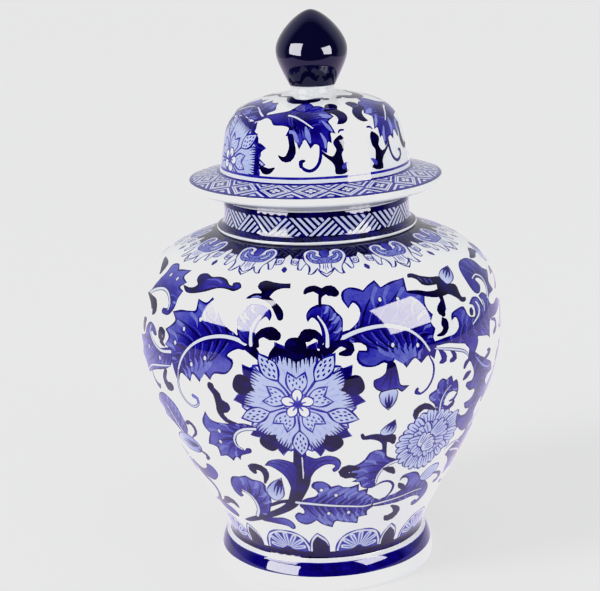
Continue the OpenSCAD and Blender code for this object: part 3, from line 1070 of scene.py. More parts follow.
def long_leaf(page):
    """The long lobed leaf under the flower."""
    page.leaf(
        [(-9.6, 42.4), (-7, 44.8), (-4, 45.8), (-2.6, 48.4), (-3.6, 51.4), (-4.9, 53.6), (-4, 57),
         (-1, 57.6), (1.4, 55), (2, 52.8, 1), (5, 54.2), (6.6, 52.6, 1), (9.6, 52), (12.6, 53.6, 1),
         (13, 48.4, 1), (16.6, 49.2, 1), (16.6, 45.2, 1), (18.6, 43.6), (20, 41), (22, 39.6), (23, 37.4),
         (20.6, 34.2), (18.2, 31.6), (18.8, 28, 1), (14.6, 27.6, 1), (14.6, 22.6, 1), (8.4, 24.6),
         (4.4, 26), (2.8, 20.9, 1), (-2, 24), (-4.4, 27, 1), (-7, 24.4), (-10, 23.4), (-13, 25.4),
         (-14, 29.6), (-12, 32.6), (-10, 31.6), (-9.2, 33.6), (-9.6, 36.4), (-10.6, 38.4)],
        [(-12, 41), (-6, 40.2), (2, 38.6), (10, 37), (17, 35.6), (22, 37)], 0.85, 0.52, 10,
        [(4.2, 46.6), (1.2, 32.2), (10, 32), (-1.5, 51)], 1.7, reach=10)


def long_leaf_tip(page):
    """What the long leaf runs on into at the right, with a small pale bud."""
    page.leaf(
        [(19.6, 35.4), (24, 39.4), (30, 41.2), (33.6, 43.8), (34.8, 48), (33.6, 52), (31.2, 52.8),
         (30.4, 51.2, 1), (31.2, 54.4), (35, 55.2), (38.2, 53.4), (40.4, 50), (42.4, 46), (45.4, 44),
         (48.4, 41), (50.8, 36.4), (51.8, 32), (50.2, 28.4), (46.4, 26), (44, 26.6), (43.4, 28.8),
         (45, 29.8), (46.4, 28.6, 1), (47.8, 30.4), (46, 33), (42, 34.6), (36, 34), (30, 33.6), (25, 34)],
        [(21, 36), (27, 36.6), (34, 37.4), (41, 38.6), (46, 38)], 0.9, 0.6, 7, (), 1.2, reach=9)
    comma(page, (30.4, 48.8, 0.7), (31.8, 46.4, 1.8), (34.4, 43.4, 1.2), tone=0.95)
    page.shape(
        [(41, 48), (43, 53.2), (46, 55.4), (50, 54.6), (51, 51), (49.6, 47), (46, 44.6), (43, 45.6)], 0.15,
        0.7)
    for rows in ([(42.5, 48), (44.6, 51.5)], [(44, 47), (47, 51.6)], [(45.6, 46.6), (49.2, 50)]):
        page.line(rows, 0.6, 0.5)
    comma(
        page, (49.6, 47.6, 0.8), (53.6, 46.2, 1.0), (56.6, 43, 1.5), (56.6, 39.6, 2.0), (54.6, 39.4, 1.4),
        tone=0.8)


def low_comma(page):
    """A dark comma between the long leaf and the lower border."""
    comma(
        page, (30.6, 31.6, 0.7), (33.4, 29, 1.7), (34.9, 25.6, 2.6), (33.2, 22.4, 3.1), (30.4, 22.4, 2.6),
        (29, 23.8, 0.8))


def lower_right_leaf(page):
    """The leaf left of the peony, its sprig and tendril, and the peony."""
    comma(
        page, (20.6, 72, 1.6), (20.3, 78, 1.3), (19.8, 82, 1.6), (18, 85.4, 2.2), (15, 86.4, 1.6),
        (12.8, 86.2, 1.3), (12.2, 88.4, 0.9), tone=0.95)
    comma(page, (20.2, 84.6, 2.2), (22.4, 83.4, 2.8), (23.2, 80.6, 1.2), tone=1.0)
    bud(
        page,
        [(18.2, 89.6), (20.2, 92.8), (22.6, 95.2, 1), (23.4, 90), (22.4, 86.4), (20, 85.8), (18.4, 87)],
        (20, 86.6), (22.4, 94))
    page.leaf(
        [(26.6, 67.6), (24, 69.6), (21.6, 71.6), (20.6, 75.6), (18, 77), (15.4, 75.6), (14.2, 71.6),
         (12, 68.8), (9.4, 66.6), (9.4, 60), (12, 58.4), (10.4, 56.4, 1), (13, 55.6, 1), (14, 51.6),
         (17, 50), (19.4, 50.6), (19.2, 55.6), (20, 60), (22, 64), (25.6, 66)],
        [(27.4, 67), (24, 66), (21.2, 63), (19.6, 58), (19.4, 53)], 0.88, 0.55, 6, (), 1.4, reach=11)
    comma(page, (11.6, 65.6, 1.4), (8.6, 66.4, 2.6), (6.6, 64, 2.8), (8, 61, 2.2), (11, 61.4, 1.4))
    comma(page, (21.6, 63, 0.8), (24.4, 61.4, 2.2), (26.4, 58.2, 0.9))
    page.line([(19.8, 51), (22.4, 53), (25.4, 52.4), (27.8, 48.6), (27.6, 43.6), (25.6, 39.6)], 1.6, 0.86)
    peony(page, 37.6, 77.6)


def leaf_over_peony(page):
    """A small leaf and three curls on top of the peony."""
    page.leaf(
        [(38.4, 94.6), (36.6, 99.6), (34.6, 102.4), (34, 105.6), (36.8, 107.8, 1), (37, 111.4),
         (38.6, 113.2), (40.2, 111.4, 1), (42.2, 113), (43.2, 109.4, 1), (44.8, 110), (45.8, 106.4),
         (46.2, 102.4), (44.4, 104), (42, 104), (40.6, 101), (40.4, 96.4)],
        [(39.4, 94), (39.2, 100), (40.4, 105), (42.6, 108)], 0.8, 0.5, 4, (), 0.9, reach=9)
    comma(page, (46, 101.5, 0.8), (44.9, 99, 1.0), (43, 98.6, 0.5), tone=0.8)
    comma(page, (40.6, 96.6, 0.8), (42.6, 94.6, 1.4), (44.8, 96, 1.8), (45, 98.2, 0.7), tone=0.85)
    comma(page, (30, 94.2, 1.4), (30, 97.6, 2.4), (32.6, 99.8, 2.0), (35.2, 98, 1.4), (37, 96.2, 0.6))


def hanging_bell(page):
    """A bell that hangs from the great right leaf, and that leaf's tendril."""
    page.shape(
        [(19.6, 128), (18.8, 122.4), (16.8, 120.2), (15.2, 119.4), (15.2, 116.2), (16.6, 113.6),
         (19, 112.6), (22.4, 113.4), (24, 111.2), (26.2, 113.8, 1), (23.6, 114.8), (22.8, 119),
         (21.6, 127)], along(0.95, 0.65, (20 * 1.68, 124), (20 * 1.68, 114)), 0.98)
    for rows in (
            [(20, 124), (18.8, 119), (17.2, 115.6)], [(20.6, 124), (20.4, 119), (19.8, 114)],
            [(21.2, 122), (21.8, 118), (22.4, 114.6)]):
        page.line(rows, 0.7, 0.98)
    bud(
        page,
        [(17.2, 112.6), (17, 108.6), (17.8, 105.4), (20, 101.6, 1), (21.8, 105), (22.6, 109), (22.2, 113)],
        (19.8, 112.5), (20, 103))
    page.line(
        [(33, 128), (34.8, 122), (34.6, 115.4), (32.8, 110), (30.4, 107.8), (28.8, 109.2), (29.2, 111)],
        1.3, 0.8)
    comma(page, (30, 108.2, 0.8), (28.9, 109.2, 1.2), (29.2, 110.8, 1.0), tone=0.8)


def bud_sprig(page):
    """The dark sprig with a bud at the upper right."""
    page.shape(
        [(32, 169.4), (32.8, 171.6), (34.8, 171.4), (37, 169), (41, 166.8), (44.4, 165.8), (47, 161),
         (49.6, 159), (49.8, 154), (50.4, 151.8), (52, 151.2), (51.4, 149.4), (49.4, 149.6), (48, 152),
         (45.4, 155), (44, 155.6), (41.8, 155.4), (41, 159), (41.6, 162, 1), (38, 162.6), (35.8, 164),
         (35, 167), (33.4, 169)], 1.0, 1.0, 0.4)
    for rows in ([(36, 168.4), (36.6, 165.4)], [(38, 167), (38.4, 164)], [(40, 166.2), (40.2, 163.4)]):
        page.line(rows, 0.8, 0.5)
    comma(
        page, (29.6, 161.4, 0.7), (33, 160.2, 1.3), (36, 158.4, 1.5), (39.4, 157.4, 1.9), (43, 157.8, 2.4))
    comma(
        page, (41, 157, 1.9), (41.2, 153.6, 1.3), (40.6, 151, 2.4), (39.9, 148.6, 3.2), (40.2, 146.6, 1.6))
    bud(
        page,
        [(44.6, 166), (47.4, 169), (52.6, 170.2, 1), (51.6, 165), (49.6, 161.6), (46.2, 160.4),
         (45, 162.6)], (46, 163), (51.8, 169.6))
    comma(
        page, (39.6, 144.4, 0.8), (40, 142.6, 2.4), (40.4, 139.4, 2.1), (39, 137, 1.4), (36.8, 136.6, 0.5))


def field(page):
    """Half of the painted field, from the border to the shoulder. What is drawn later lies on top."""
    for draw in (
            stems, great_left_leaf, great_right_leaf, curled_leaves, curls_over_flower, forked_curls,
            top_left_scroll, top_left_leaf, left_leaf, flower_and_crown, lower_left_leaf, sickle_leaves,
            lower_left_sprig, long_leaf, long_leaf_tip, low_comma, lower_right_leaf, leaf_over_peony,
            hanging_bell, bud_sprig, right_side, round_the_back, left_low):
        draw(page)


def bud(page, points, start, end):
    """A pale closed bud with dark streaks from its tip."""
    scale = page.scale(points)
    s, e = np.array([start[0] * scale, start[1]]), np.array([end[0] * scale, end[1]])
    page.shape(points, along(0.12, 0.35, s, e), 0.9, 0.8, scale)
    d = e - s
    n = np.array([-d[1], d[0]]) / np.hypot(*d)
    for off, f0, wide in ((0, 0.15, 0.7), (1.7, 0.3, 0.6), (-1.7, 0.3, 0.6)):
        a = e - d * 0.06 + n * off * 0.25
        b = s + d * f0 + n * off
        m = (a + b) / 2 + n * off * 0.35
        rows = [(a[0] / scale, a[1], wide * 1.3), (m[0] / scale, m[1], wide), (b[0] / scale, b[1], 0.15)]
        page.brush(rows, 0.85, scale)
    tip = [
        (e[0] / scale, e[1], 0.3), ((e - d * 0.12)[0] / scale, (e - d * 0.12)[1], 1.1),
        ((e - d * 0.26)[0] / scale, (e - d * 0.26)[1], 0.4)]
    page.brush(tip, 1.0, scale)


def petal(page, c, k, turn, out, wide, lobes=3, tone=0.12, streaks=5):
    """A ruffled petal: c is its root in mm, turn its direction."""
    ca, sa = math.cos(turn), math.sin(turn)

    def at(x, y):
        return ((c[0] + x * ca - y * sa) / k, c[1] + x * sa + y * ca)

    rows = [at(0, -0.25 * wide), at(0.55 * out, -0.5 * wide)]
    for i in range(lobes):
        f0, f1 = (i / lobes - 0.5), ((i + 1) / lobes - 0.5)
        fm = (f0 + f1) / 2
        rise = out * (1.0 - 0.7 * fm * fm)
        rows.append(at(rise * 0.98, wide * (f0 * 0.9 + fm * 0.1)))
        rows.append(at(rise * 1.06, wide * fm))
        rows.append(at(rise * 0.98, wide * (f1 * 0.9 + fm * 0.1)))
        if i < lobes - 1:
            rows.append(at(out * (1.0 - 0.7 * f1 * f1) * 0.9, wide * f1) + (1,))
    rows += [at(0.55 * out, 0.5 * wide), at(0, 0.25 * wide)]
    page.shape(rows, tone, 0.76, 1.05, k)
    for i in range(streaks):
        y = wide * ((i + 0.5) / streaks - 0.5) * 0.8
        root, middle, end = at(out * 0.22, y * 0.5), at(out * 0.55, y * 0.85), at(out * 0.84, y * 1.02)
        page.brush([root + (0.15,), middle + (0.42,), end + (0.12,)], 0.5, k, step=3)


def peony(page, a, v):
    """A ruffled flower: an outer ring of petals, an inner one, and two small petals in front."""
    k = page.scale([(a, v)])
    c = np.array([a * k, v])
    for deg, r0, out, wide in (
            (100, 6, 13.5, 13), (140, 6, 13, 12), (178, 7, 13, 12), (60, 6, 12, 12), (20, 7, 15, 13),
            (-14, 7, 15.5, 13), (218, 6, 14, 12), (-46, 6, 14, 13), (250, 6, 14, 12), (284, 6, 15, 12)):
        t = math.radians(deg)
        petal(page, c + r0 * np.array([math.cos(t), math.sin(t)]), k, t, out, wide)
    for deg, r0, out, wide in (
            (80, 2, 9.5, 11), (130, 2, 10, 11), (190, 2, 11, 11), (235, 2, 10, 11), (300, 2, 10.5, 12),
            (0, 2, 11.5, 12), (38, 2, 11, 11)):
        t = math.radians(deg)
        petal(page, c + r0 * np.array([math.cos(t), math.sin(t)]), k, t, out, wide, 3, 0.15, 4)
    petal(page, c + np.array([-5, -4]), k, math.radians(60), 9, 9, 3, 0.08, 4)
    petal(page, c + np.array([-3, -6]), k, math.radians(20), 9, 9, 3, 0.08, 4)


def right_side(page):
    """Foliage that runs round the right of the body to the back."""
    page.leaf(
        [(34.6, 133.6), (40, 134.2), (44, 135), (46.2, 138), (45.8, 142), (44.8, 143.6), (43.4, 142.6, 1),
         (43.8, 145.4), (47, 147), (49.6, 146.6), (50.6, 143), (52, 140.6), (54.8, 139.6), (55.4, 143),
         (54.8, 146), (53.2, 147.2, 1), (55.4, 149.4), (58.2, 148.6), (59.8, 145), (61, 141.6), (60.8, 146),
         (59.8, 148.6, 1), (62.5, 149.4), (65.2, 146.4), (66.4, 141.8), (70, 140), (75, 141), (79, 138, 1),
         (75, 135.4), (70, 134.4), (65, 134), (63.6, 130), (63.6, 124.6, 1), (61.6, 127), (58, 128.4),
         (55, 129), (52, 126), (47, 129), (41, 131.4), (36, 132)],
        [(36, 132.6), (43, 131.6), (50, 133), (57, 135.6), (64, 137.6), (72, 138)], 0.9, 0.7, 9, (), 0,
        reach=11)
    page.dot(53.2, 143, r=2.0, tone=0.97, ring=None, tall=1.2)
    page.line([(56.6, 147), (58, 144), (57.2, 140), (53, 136.4)], 1.3, 0.05)
    page.line([(61, 146.6), (61.8, 143.4), (61.2, 140)], 1.0, 0.1)
    comma(page, (37, 129.6, 0.7), (38.6, 126, 1.8), (38.8, 123.4, 2.2), (37.4, 122.4, 0.8), tone=0.85)
    comma(page, (41.2, 128.4, 0.6), (42.8, 125.4, 1.2), (43.4, 122.6, 1.8), (41.8, 121.8, 1.2), tone=0.85)
    page.line([(35.4, 130.4), (42, 127.6), (47.6, 124.4), (50.6, 120)], 1.8, 0.85, core=0.08)
    comma(page, (66, 133.4, 0.6), (69.4, 131.6, 1.2), (70, 127.6, 1.9), (67.6, 125.8, 1.4), tone=0.8)
    page.shape(
        [(49, 131), (54, 130.6), (55.4, 127), (54, 122.6), (51.6, 119), (49.8, 120.4), (50.4, 124.6),
         (48.4, 128)], 0.72, 0.88)
    page.leaf(
        [(50.4, 122), (53.4, 121), (57, 117.4), (61.4, 113.6), (66, 110), (69, 104.4, 1), (65, 103.4),
         (64, 100, 1), (66.6, 96), (71, 92, 1), (65.4, 90.4), (63, 87), (62.6, 82), (65, 76, 1), (61, 72),
         (57, 73.4), (53, 77.4), (50.2, 82), (49.2, 87.6, 1), (52, 84.8), (55, 84.6), (56.4, 87.6),
         (53.4, 89.4), (51.8, 93, 1), (55, 93.4), (57, 96), (56.2, 99.6), (53.2, 100.4), (50.2, 104.2),
         (50.6, 105.8, 1), (53.4, 105.6), (54, 109.4), (53, 113), (51.6, 117), (49.8, 119.4)],
        [(51.4, 120.4), (55.4, 114), (58.4, 107), (60, 100), (60, 91), (59, 80)], 0.95, 0.8, 9, (), 0,
        reach=9)
    page.line([(54, 118.6), (57.6, 113.4), (61.6, 109.6), (65.4, 108)], 1.0, 0.3)
    comma(page, (50.6, 119, 0.8), (48.8, 117.4, 1.6), (48.2, 115.6, 1.2), tone=0.85)
    comma(page, (51.4, 111.4, 1.0), (49.8, 110.4, 2.0), (48.6, 109, 1.2), tone=0.85)
    comma(page, (59, 114.6, 0.6), (62, 115.4, 1.4), (64, 117.4, 1.6), (62, 118.6, 0.8), tone=0.85)
    page.leaf(
        [(56, 159), (56.6, 165), (60.4, 169.4), (65.6, 169.4), (69.6, 166), (71.4, 160), (75, 157, 1),
         (71, 152), (72.6, 147, 1), (68, 146.4), (65, 144.6), (66.4, 149), (66.4, 154), (64, 157.6),
         (61.4, 157.4), (62.6, 153.4), (60.4, 150.2), (57.6, 152)],
        [(65.6, 145.6), (67.2, 150), (67, 156), (63.6, 159.4), (60, 158.4)], 0.95, 0.85, 7, (), 1.4,
        reach=10)
    comma(page, (70, 168, 0.8), (74, 168.4, 2.2), (77.6, 170, 2.6), (80, 168, 1.2), tone=0.95)


def round_the_back(page):
    """Foliage and a smaller flower on the far side, where the two halves of the field meet."""
    page.leaf(
        [(54, 62.6), (52.4, 59, 1), (56.4, 55), (59, 49), (61, 41, 1), (64.4, 43.4), (70, 42), (75, 40, 1),
         (74.4, 47), (79, 54, 1), (76, 60), (77, 70, 1), (71, 69), (66, 74, 1), (62, 69), (58, 66.4)],
        [(55, 61), (60, 59), (66, 55), (72, 48)], 0.95, 0.85, 6, [(63, 51)], 1.4, reach=9)
    comma(page, (60, 66, 0.7), (62.4, 70, 1.5), (61.4, 74, 1.8), (58.6, 73, 1.4), tone=0.9)
    page.line([(61, 63), (57, 66), (53, 66.6), (50, 64)], 1.5, 0.85, core=0.1)
    comma(page, (62, 36, 0.7), (66, 33, 1.9), (70, 33.6, 2.8), (71.4, 37, 2.0), (69.6, 38.4, 0.8))
    page.leaf(
        [(78, 40), (74, 36, 1), (77, 31), (75, 26, 1), (80, 27), (84, 24), (88, 26.4), (92, 32, 1),
         (89, 36), (84, 40)],
        [(78.6, 39), (81.6, 35), (85.6, 31), (89, 30)], 0.85, 0.55, 5, (), 1.2, reach=8)
    main_flower(page, 86, 104, 0.72)
    page.leaf(
        [(74, 126), (78, 124), (84, 124.6), (88, 128), (93, 127, 1), (92, 132), (96, 136, 1), (91, 138),
         (86, 142, 1), (83, 138), (79, 137), (77, 132)],
        [(75, 127), (80, 129.6), (86, 132), (91, 134)], 0.85, 0.5, 6, (), 1.4, reach=9)
    comma(page, (76, 146, 0.7), (80, 148, 1.8), (83, 152, 2.8), (80.6, 155.4, 2.2), (78, 154, 1.0))
    comma(page, (86, 148, 0.7), (90, 150.6, 1.6), (91, 156, 2.6), (87.6, 158.6, 2.2), (86, 156, 0.8))
    bud(
        page, [(82, 160), (80, 165), (82, 170.4), (86, 173.4, 1), (88.6, 168), (88, 163), (85.4, 159.6)],
        (84.4, 161), (86, 172))
    page.leaf(
        [(70, 88), (74, 92), (75, 98), (72.6, 103, 1), (70, 100), (67, 96, 1), (66, 91), (66.6, 86)],
        [(68, 86.6), (70.4, 91), (71.4, 96)], 0.8, 0.5, 4, (), 1.0, reach=7)
    bud(page, [(66, 78), (67, 73), (72, 70.6), (78, 71.6, 1), (75, 77), (70, 80)], (68, 76.4), (76.6, 72.4))
    comma(page, (84, 78, 0.6), (86, 72, 1.6), (84, 66, 2.6), (80.6, 66, 2.0), (80.6, 69, 0.8))
    page.line([(86, 84), (86.6, 74), (85, 64), (80, 55), (75, 50)], 1.8, 0.9, core=0.1)
    comma(page, (88, 60, 0.7), (91, 56, 1.8), (90.4, 50, 2.6), (87, 50, 1.6))


def left_low(page):
    """What shows at the lower left of the body."""
    page.leaf(
        [(-56, 76), (-53, 80), (-52, 85), (-53, 92), (-55, 97), (-60, 100.4), (-66, 97), (-69.4, 91, 1),
         (-66, 88.6), (-67.6, 84, 1), (-62, 82)],
        [(-57, 77.4), (-58.4, 83), (-60, 89), (-62, 94)], 0.78, 0.5, 5, (), 1.2, reach=9)
    bud(
        page,
        [(-48.4, 71), (-50, 75), (-54, 77.6), (-60, 76), (-65, 70.6, 1), (-60, 66), (-54, 65.4),
         (-50, 67.4)], (-62, 71), (-50, 71.4))
    comma(
        page, (-51, 86.2, 1.2), (-49.2, 87.6, 1.4), (-47.4, 85, 1.4), (-47.8, 81, 1.0), (-51, 77, 0.5),
        tone=0.9)
    comma(page, (-50.6, 68.8, 0.7), (-48, 67.4, 1.1), (-46.8, 65.4, 1.6), (-48, 63.4, 1.0), tone=0.9)
    page.shape(
        [(-47.6, 50.4), (-46.2, 54.6), (-47.6, 58.4), (-50.6, 59), (-51.6, 56, 1), (-54, 53.6), (-58, 53),
         (-63, 56.4), (-62, 50), (-57, 46.8), (-51.6, 46.6)],
        along(0.55, 0.85, (-48 * 1.3, 54), (-60 * 1.3, 52)), 0.9)
    comma(
        page, (-63, 54, 1.8), (-60, 47, 2.0), (-55.6, 42, 1.6), (-55, 36, 1.2), (-58, 30, 1.4),
        (-64, 26, 1.2), (-70, 24.6, 0.5), tone=0.9)
    comma(
        page, (-44.8, 29, 1.2), (-46.2, 32, 2.4), (-50, 32.4, 2.6), (-53.6, 29, 1.6), (-58, 28, 0.8),
        tone=0.97)
    page.shape(
        [(-55, 27), (-50.4, 25), (-48.4, 21.4), (-50, 19), (-54, 19.6), (-60, 22), (-62, 26)], 0.7, 0.95)
    page.leaf(
        [(-66, 60), (-70, 66, 1), (-72, 60), (-77, 60, 1), (-76, 53), (-79, 47, 1), (-73, 47.4), (-70, 43),
         (-66, 47), (-64, 53)],
        [(-65, 57), (-69, 55), (-74, 51)], 0.85, 0.55, 4, (), 1.1, reach=8)


def both_ways(half):
    """A closed outline from its right half; rows with turn 0 lie on the axis."""
    left = [(-q[0],) + tuple(q[1:]) for q in half[::-1] if q[0] > 0]
    return list(half) + left


def ring(low, high, tone, wave_low=0.0, wave_high=0.0):
    """A band of paint right round the jar, its edges a little unsteady."""
    swing = np.sin(np.radians(TURNS) * 5) + 0.6 * np.sin(np.radians(TURNS) * 13 + 1)
    lower = np.stack([TURNS, low + wave_low * swing], 1)
    upper = np.stack([TURNS, high + wave_high * swing[::-1]], 1)
    return np.vstack([lower, upper[::-1]]), flat_tone(tone), 0.0


LAPPETS = 11
LAPPET_AT = 3.0  # the turn of one of them


def shoulder(page):
    """One lappet of the shoulder border, and half a gap to each side of it."""
    pitch = 360.0 / LAPPETS
    g = pitch / 2

    def lappet(rows, *look):
        page.shape(at_turn(rows, LAPPET_AT), *look)

    def pair(rows, width, tone):
        for side in (-1, 1):
            page.line(at_turn(rows, LAPPET_AT, side), width, tone)

    edge = [
        (8.6, 192.4), (g - 4.6, 191.0), (g - 3.0, 192.2), (g - 2.0, 191.2), (g - 1.3, 192.6), (g, 195.2)]
    ground = [(0, 192)] + edge + [(g, 206), (0, 206)]
    turned = at_turn([(q[0], q[1], 1) for q in both_ways(ground)], LAPPET_AT)
    page.add([q[:2] for q in turned], 1.0, flat_tone(1.0))
    for side in (-1, 1):
        gap = LAPPET_AT + side * g
        ear = [
            (1.5, 191.6, 1), (3.8, 191.8), (5.6, 190.8, 1), (4.8, 188.4), (4.4, 185.4, 1), (2.2, 186.2),
            (1.7, 188.6)]
        page.shape(at_turn(ear, gap, -side), 0.03, 0.74, 0.9)
        stud = [(2.6, 187.4, 1), (2.5, 189.8, 1), (4.0, 189.6, 1), (4.0, 187.2, 1)]
        page.shape(at_turn(stud, gap, -side), 0.1, 0.7, 0.6)
        tongue = [
            (5.0, 191.4, 1), (7.4, 191.8, 1), (8.8, 188.4), (7.6, 185.0), (6.6, 181.4, 1), (5.2, 182.0),
            (5.0, 186.2)]
        page.shape(at_turn(tongue, gap, -side), 0.02, 0.72, 0.95)
    page.brush(
        [(LAPPET_AT + g - 0.2, 183.2, 0.9), (LAPPET_AT + g, 181.6, 1.5), (LAPPET_AT + g + 0.2, 180, 0.8)],
        0.8)
    half = [
        (0, 175.8, 1), (1.8, 178.2), (2.8, 180.6), (3.3, 182.4, 1), (4.4, 179.4), (5.6, 177.9),
        (6.9, 178.2, 1), (6.5, 181), (6.8, 184.4), (8.0, 187), (9.2, 189.8), (9.9, 192.4), (10.1, 195),
        (9.7, 197.6), (8.0, 199.5), (5.5, 200.0), (3.2, 199.0), (2.0, 197.6), (2.1, 195.4), (0, 194.6)]
    lappet(both_ways(half), 0.02, 0.8, 1.05)
    heart = [
        (0, 187.0), (2.5, 186.8), (5.0, 187.4), (7.0, 189.6), (8.2, 192.4), (8.5, 195), (7.8, 197.4),
        (6.2, 198.4), (4.6, 197.6), (4.0, 196), (4.6, 194.4, 1), (2.6, 193.0), (0, 192.6)]
    lappet(both_ways(heart), 0.42, 0.76, 0.8)
    lobe = [
        (3.6, 189.4), (5.4, 190.2), (6.6, 192.4), (7.0, 194.8), (6.4, 196.6), (5.4, 196.2), (5.6, 193.8),
        (4.2, 191.6), (2.4, 190.6)]
    for side in (-1, 1):
        page.shape(at_turn(lobe, LAPPET_AT, side), 0.14, 0.72, 0.75)
    lappet(both_ways([(0, 192.4), (1.6, 193.2), (2.3, 195), (1.8, 198.6), (0, 199.6)]), 0.6, 0.85, 0.5)
    for rows in (
            [(3.9, 189.6), (2.7, 187.4)], [(5.4, 190.2), (5.2, 188)], [(6.5, 192), (7.8, 190.8)],
            [(7, 194.2), (8.5, 193.8)], [(6.7, 196.2), (7.9, 196.8)], [(2.4, 190.8), (1.2, 188)],
            [(4.2, 191.6), (3.0, 192.8)]):
        pair(rows, 0.75, 0.74)
    pair([(1.4, 191.6), (0.8, 189.8), (0.6, 187.6)], 0.7, 0.5)
    pair([(2.6, 187.2), (2.3, 184.6), (2.5, 181.2)], 0.75, 0.64)
    pair([(0.9, 186.6), (0.8, 184), (1.0, 181.8)], 0.6, 0.55)
    pair([(3.3, 182.2), (1.8, 180), (0, 178)], 0.9, 0.78)
    page.line([(LAPPET_AT, 192), (LAPPET_AT, 184), (LAPPET_AT, 180)], 0.5, 0.4)


MEDALLIONS = 9
MEDALLION_AT = -22.0
BORDER_FOOT = 1.2  # the v that the border stands on


def lower_border(page):
    """One fan medallion with the dark pointed arch to its right."""
    c = MEDALLION_AT
    half = [(0, 16.7), (4.6, 16.1), (8.6, 13.6), (11.4, 9.6), (12.9, 5), (13.2, BORDER_FOOT, 1)]
    left = [(-q[0], q[1]) for q in half[1:-1]] + [(-13.2, BORDER_FOOT, 1)]
    outer = [(13.2, BORDER_FOOT, 1)] + half[-2::-1] + left
    page.shape(at_turn(outer, c), 0.06, 0.66, 1.3)
    inner = [(q[0] * 0.87, q[1] * 0.885 - (0.2 if len(q) < 3 else 0),) + tuple(q[2:]) for q in outer]
    page.shape(at_turn(inner, c), 0.66, 0.85, 0.6)
    for i, turn in enumerate((14, 38, 63, 90, 117, 142, 166)):
        t = math.radians(turn)
        far = 10.6 if 30 < turn < 150 else 9.4
        rows = [(c + r * math.cos(t), 2.2 + r * 1.1 * math.sin(t)) for r in (2.6, 6.4, far)]
        page.brush([rows[0] + (0.5,), rows[1] + (1.2,), rows[2] + (1.3,)], 0.1, 1.0)
        page.brush([rows[0] + (0.12,), rows[1] + (0.5,), rows[2] + (0.35,)], 0.42, 1.0)
    page.shape(
        at_turn([(5, BORDER_FOOT, 1), (3.4, 2.4), (0, 3.6), (-3.4, 2.4), (-5, BORDER_FOOT, 1)], c), 0.95,
        1.0, 0.3)
    a = c + 180.0 / MEDALLIONS - 0.2
    arch = [
        (-7.2, BORDER_FOOT, 1), (-6.9, 8), (-5, 12.6), (-2.6, 16, 1), (0.8, 12.6), (3.2, 8),
        (3.6, BORDER_FOOT, 1)]
    page.shape(at_turn(arch, a), 0.06, 0.76, 0.95)
    inside = [
        (-5.8, BORDER_FOOT, 1), (-5.5, 7.4), (-4.2, 10.8), (-2.5, 13.2, 1), (0, 10.6), (2.4, 7.6),
        (3.4, BORDER_FOOT, 1)]
    page.shape(at_turn(inside, a), 1.0, 1.0, 0.3)


BARS = 14  # groups of bars round the neck
BARS_IN_GROUP = 5
BAR_PITCH, BAR_WIDTH = 4.3, 2.2  # degrees
BAR_RISE, BAR_FALL = 1.27, 1.05  # degrees a standing and a hanging bar lean for each millimetre
FIRST_FOOT, FIRST_HEAD = -4.9, 9.4  # where the first bar of each kind starts
STANDING_END, HANGING_END = 17.6, 19.8  # the sides that the bars are cut off along


def neck_bars(page, low, high):
    """Bars that rise to the right and bars that fall to the right, cut off where the two kinds meet."""
    tall = high - low
    for i in range(BARS_IN_GROUP):
        foot = FIRST_FOOT + BAR_PITCH * i
        left, right = ((STANDING_END - x) / (BAR_RISE + BAR_FALL) for x in (foot, foot + BAR_WIDTH))
        cut_bar(page, foot, low, BAR_RISE, 1, min(left, tall), min(right, tall))
        head = FIRST_HEAD + BAR_PITCH * i
        end = HANGING_END + BAR_RISE * tall
        left, right = ((end - x) / (BAR_RISE + BAR_FALL) for x in (head, head + BAR_WIDTH))
        cut_bar(page, head, high, BAR_FALL, -1, min(left, tall), min(right, tall))


def cut_bar(page, start, v, slope, way, left, right):
    """A slanted bar from a level end, its two sides of different lengths."""
    far_right = (start + BAR_WIDTH + slope * right, v + way * right)
    loop = [(start, v), (start + BAR_WIDTH, v), far_right, (start + slope * left, v + way * left)]
    page.add(loop, 1.0, flat_tone(0.1))


LOZENGES = 20
LOZENGE_AT, LOZENGE_MIDDLE, LOZENGE_REACH = -2.5, 9.1, 7.5  # turn, v, and millimetres to its tip


def lozenges(page):
    """One lozenge of the flange with its four-petalled floret, and the triangles beside it."""
    c, w, h, mid = LOZENGE_AT, 180.0 / LOZENGES, LOZENGE_REACH, LOZENGE_MIDDLE

    def diamond(share, tone):
        loop = [(c - w * share, mid), (c, mid - h * share), (c + w * share, mid), (c, mid + h * share)]
        page.add(loop, 1.0, flat_tone(tone))
    for share, tone in ((0.93, 0.06), (0.80, 0.75), (0.74, 0.06), (0.60, 0.8)):
        diamond(share, tone)
    for x, y in ((1.75, 0), (-1.75, 0), (0, 1.45), (0, -1.45)):
        page.brush([(c + x * 0.35, mid + y * 0.35, 0.5), (c + x, mid + y, 0.95)], 0.05, 1.0)
    page.brush([(c - 0.6, mid, 0.3), (c + 0.6, mid, 0.3)], 0.5, 1.0)
    for side in (-1, 1):
        x, tip, base = c + w, mid + side * 1.5, mid + side * 7.0
        wide = w * 0.70
        chevron = [
            (x - wide, base), (x, tip), (x + wide, base), (x + wide * 0.76, base), (x, tip + side * 1.35),
            (x - wide * 0.76, base)]
        page.add(chevron, 1.0, flat_tone(0.06))
        page.brush(
            [(x - 1.1, base - side * 0.9, 0.5), (x, base - side * 1.3, 0.8),
             (x + 1.1, base - side * 0.9, 0.5)], 0.08, 1.0)


DOME_MIRROR = 28.0  # the turn that the half of the dome's painting is mirrored about


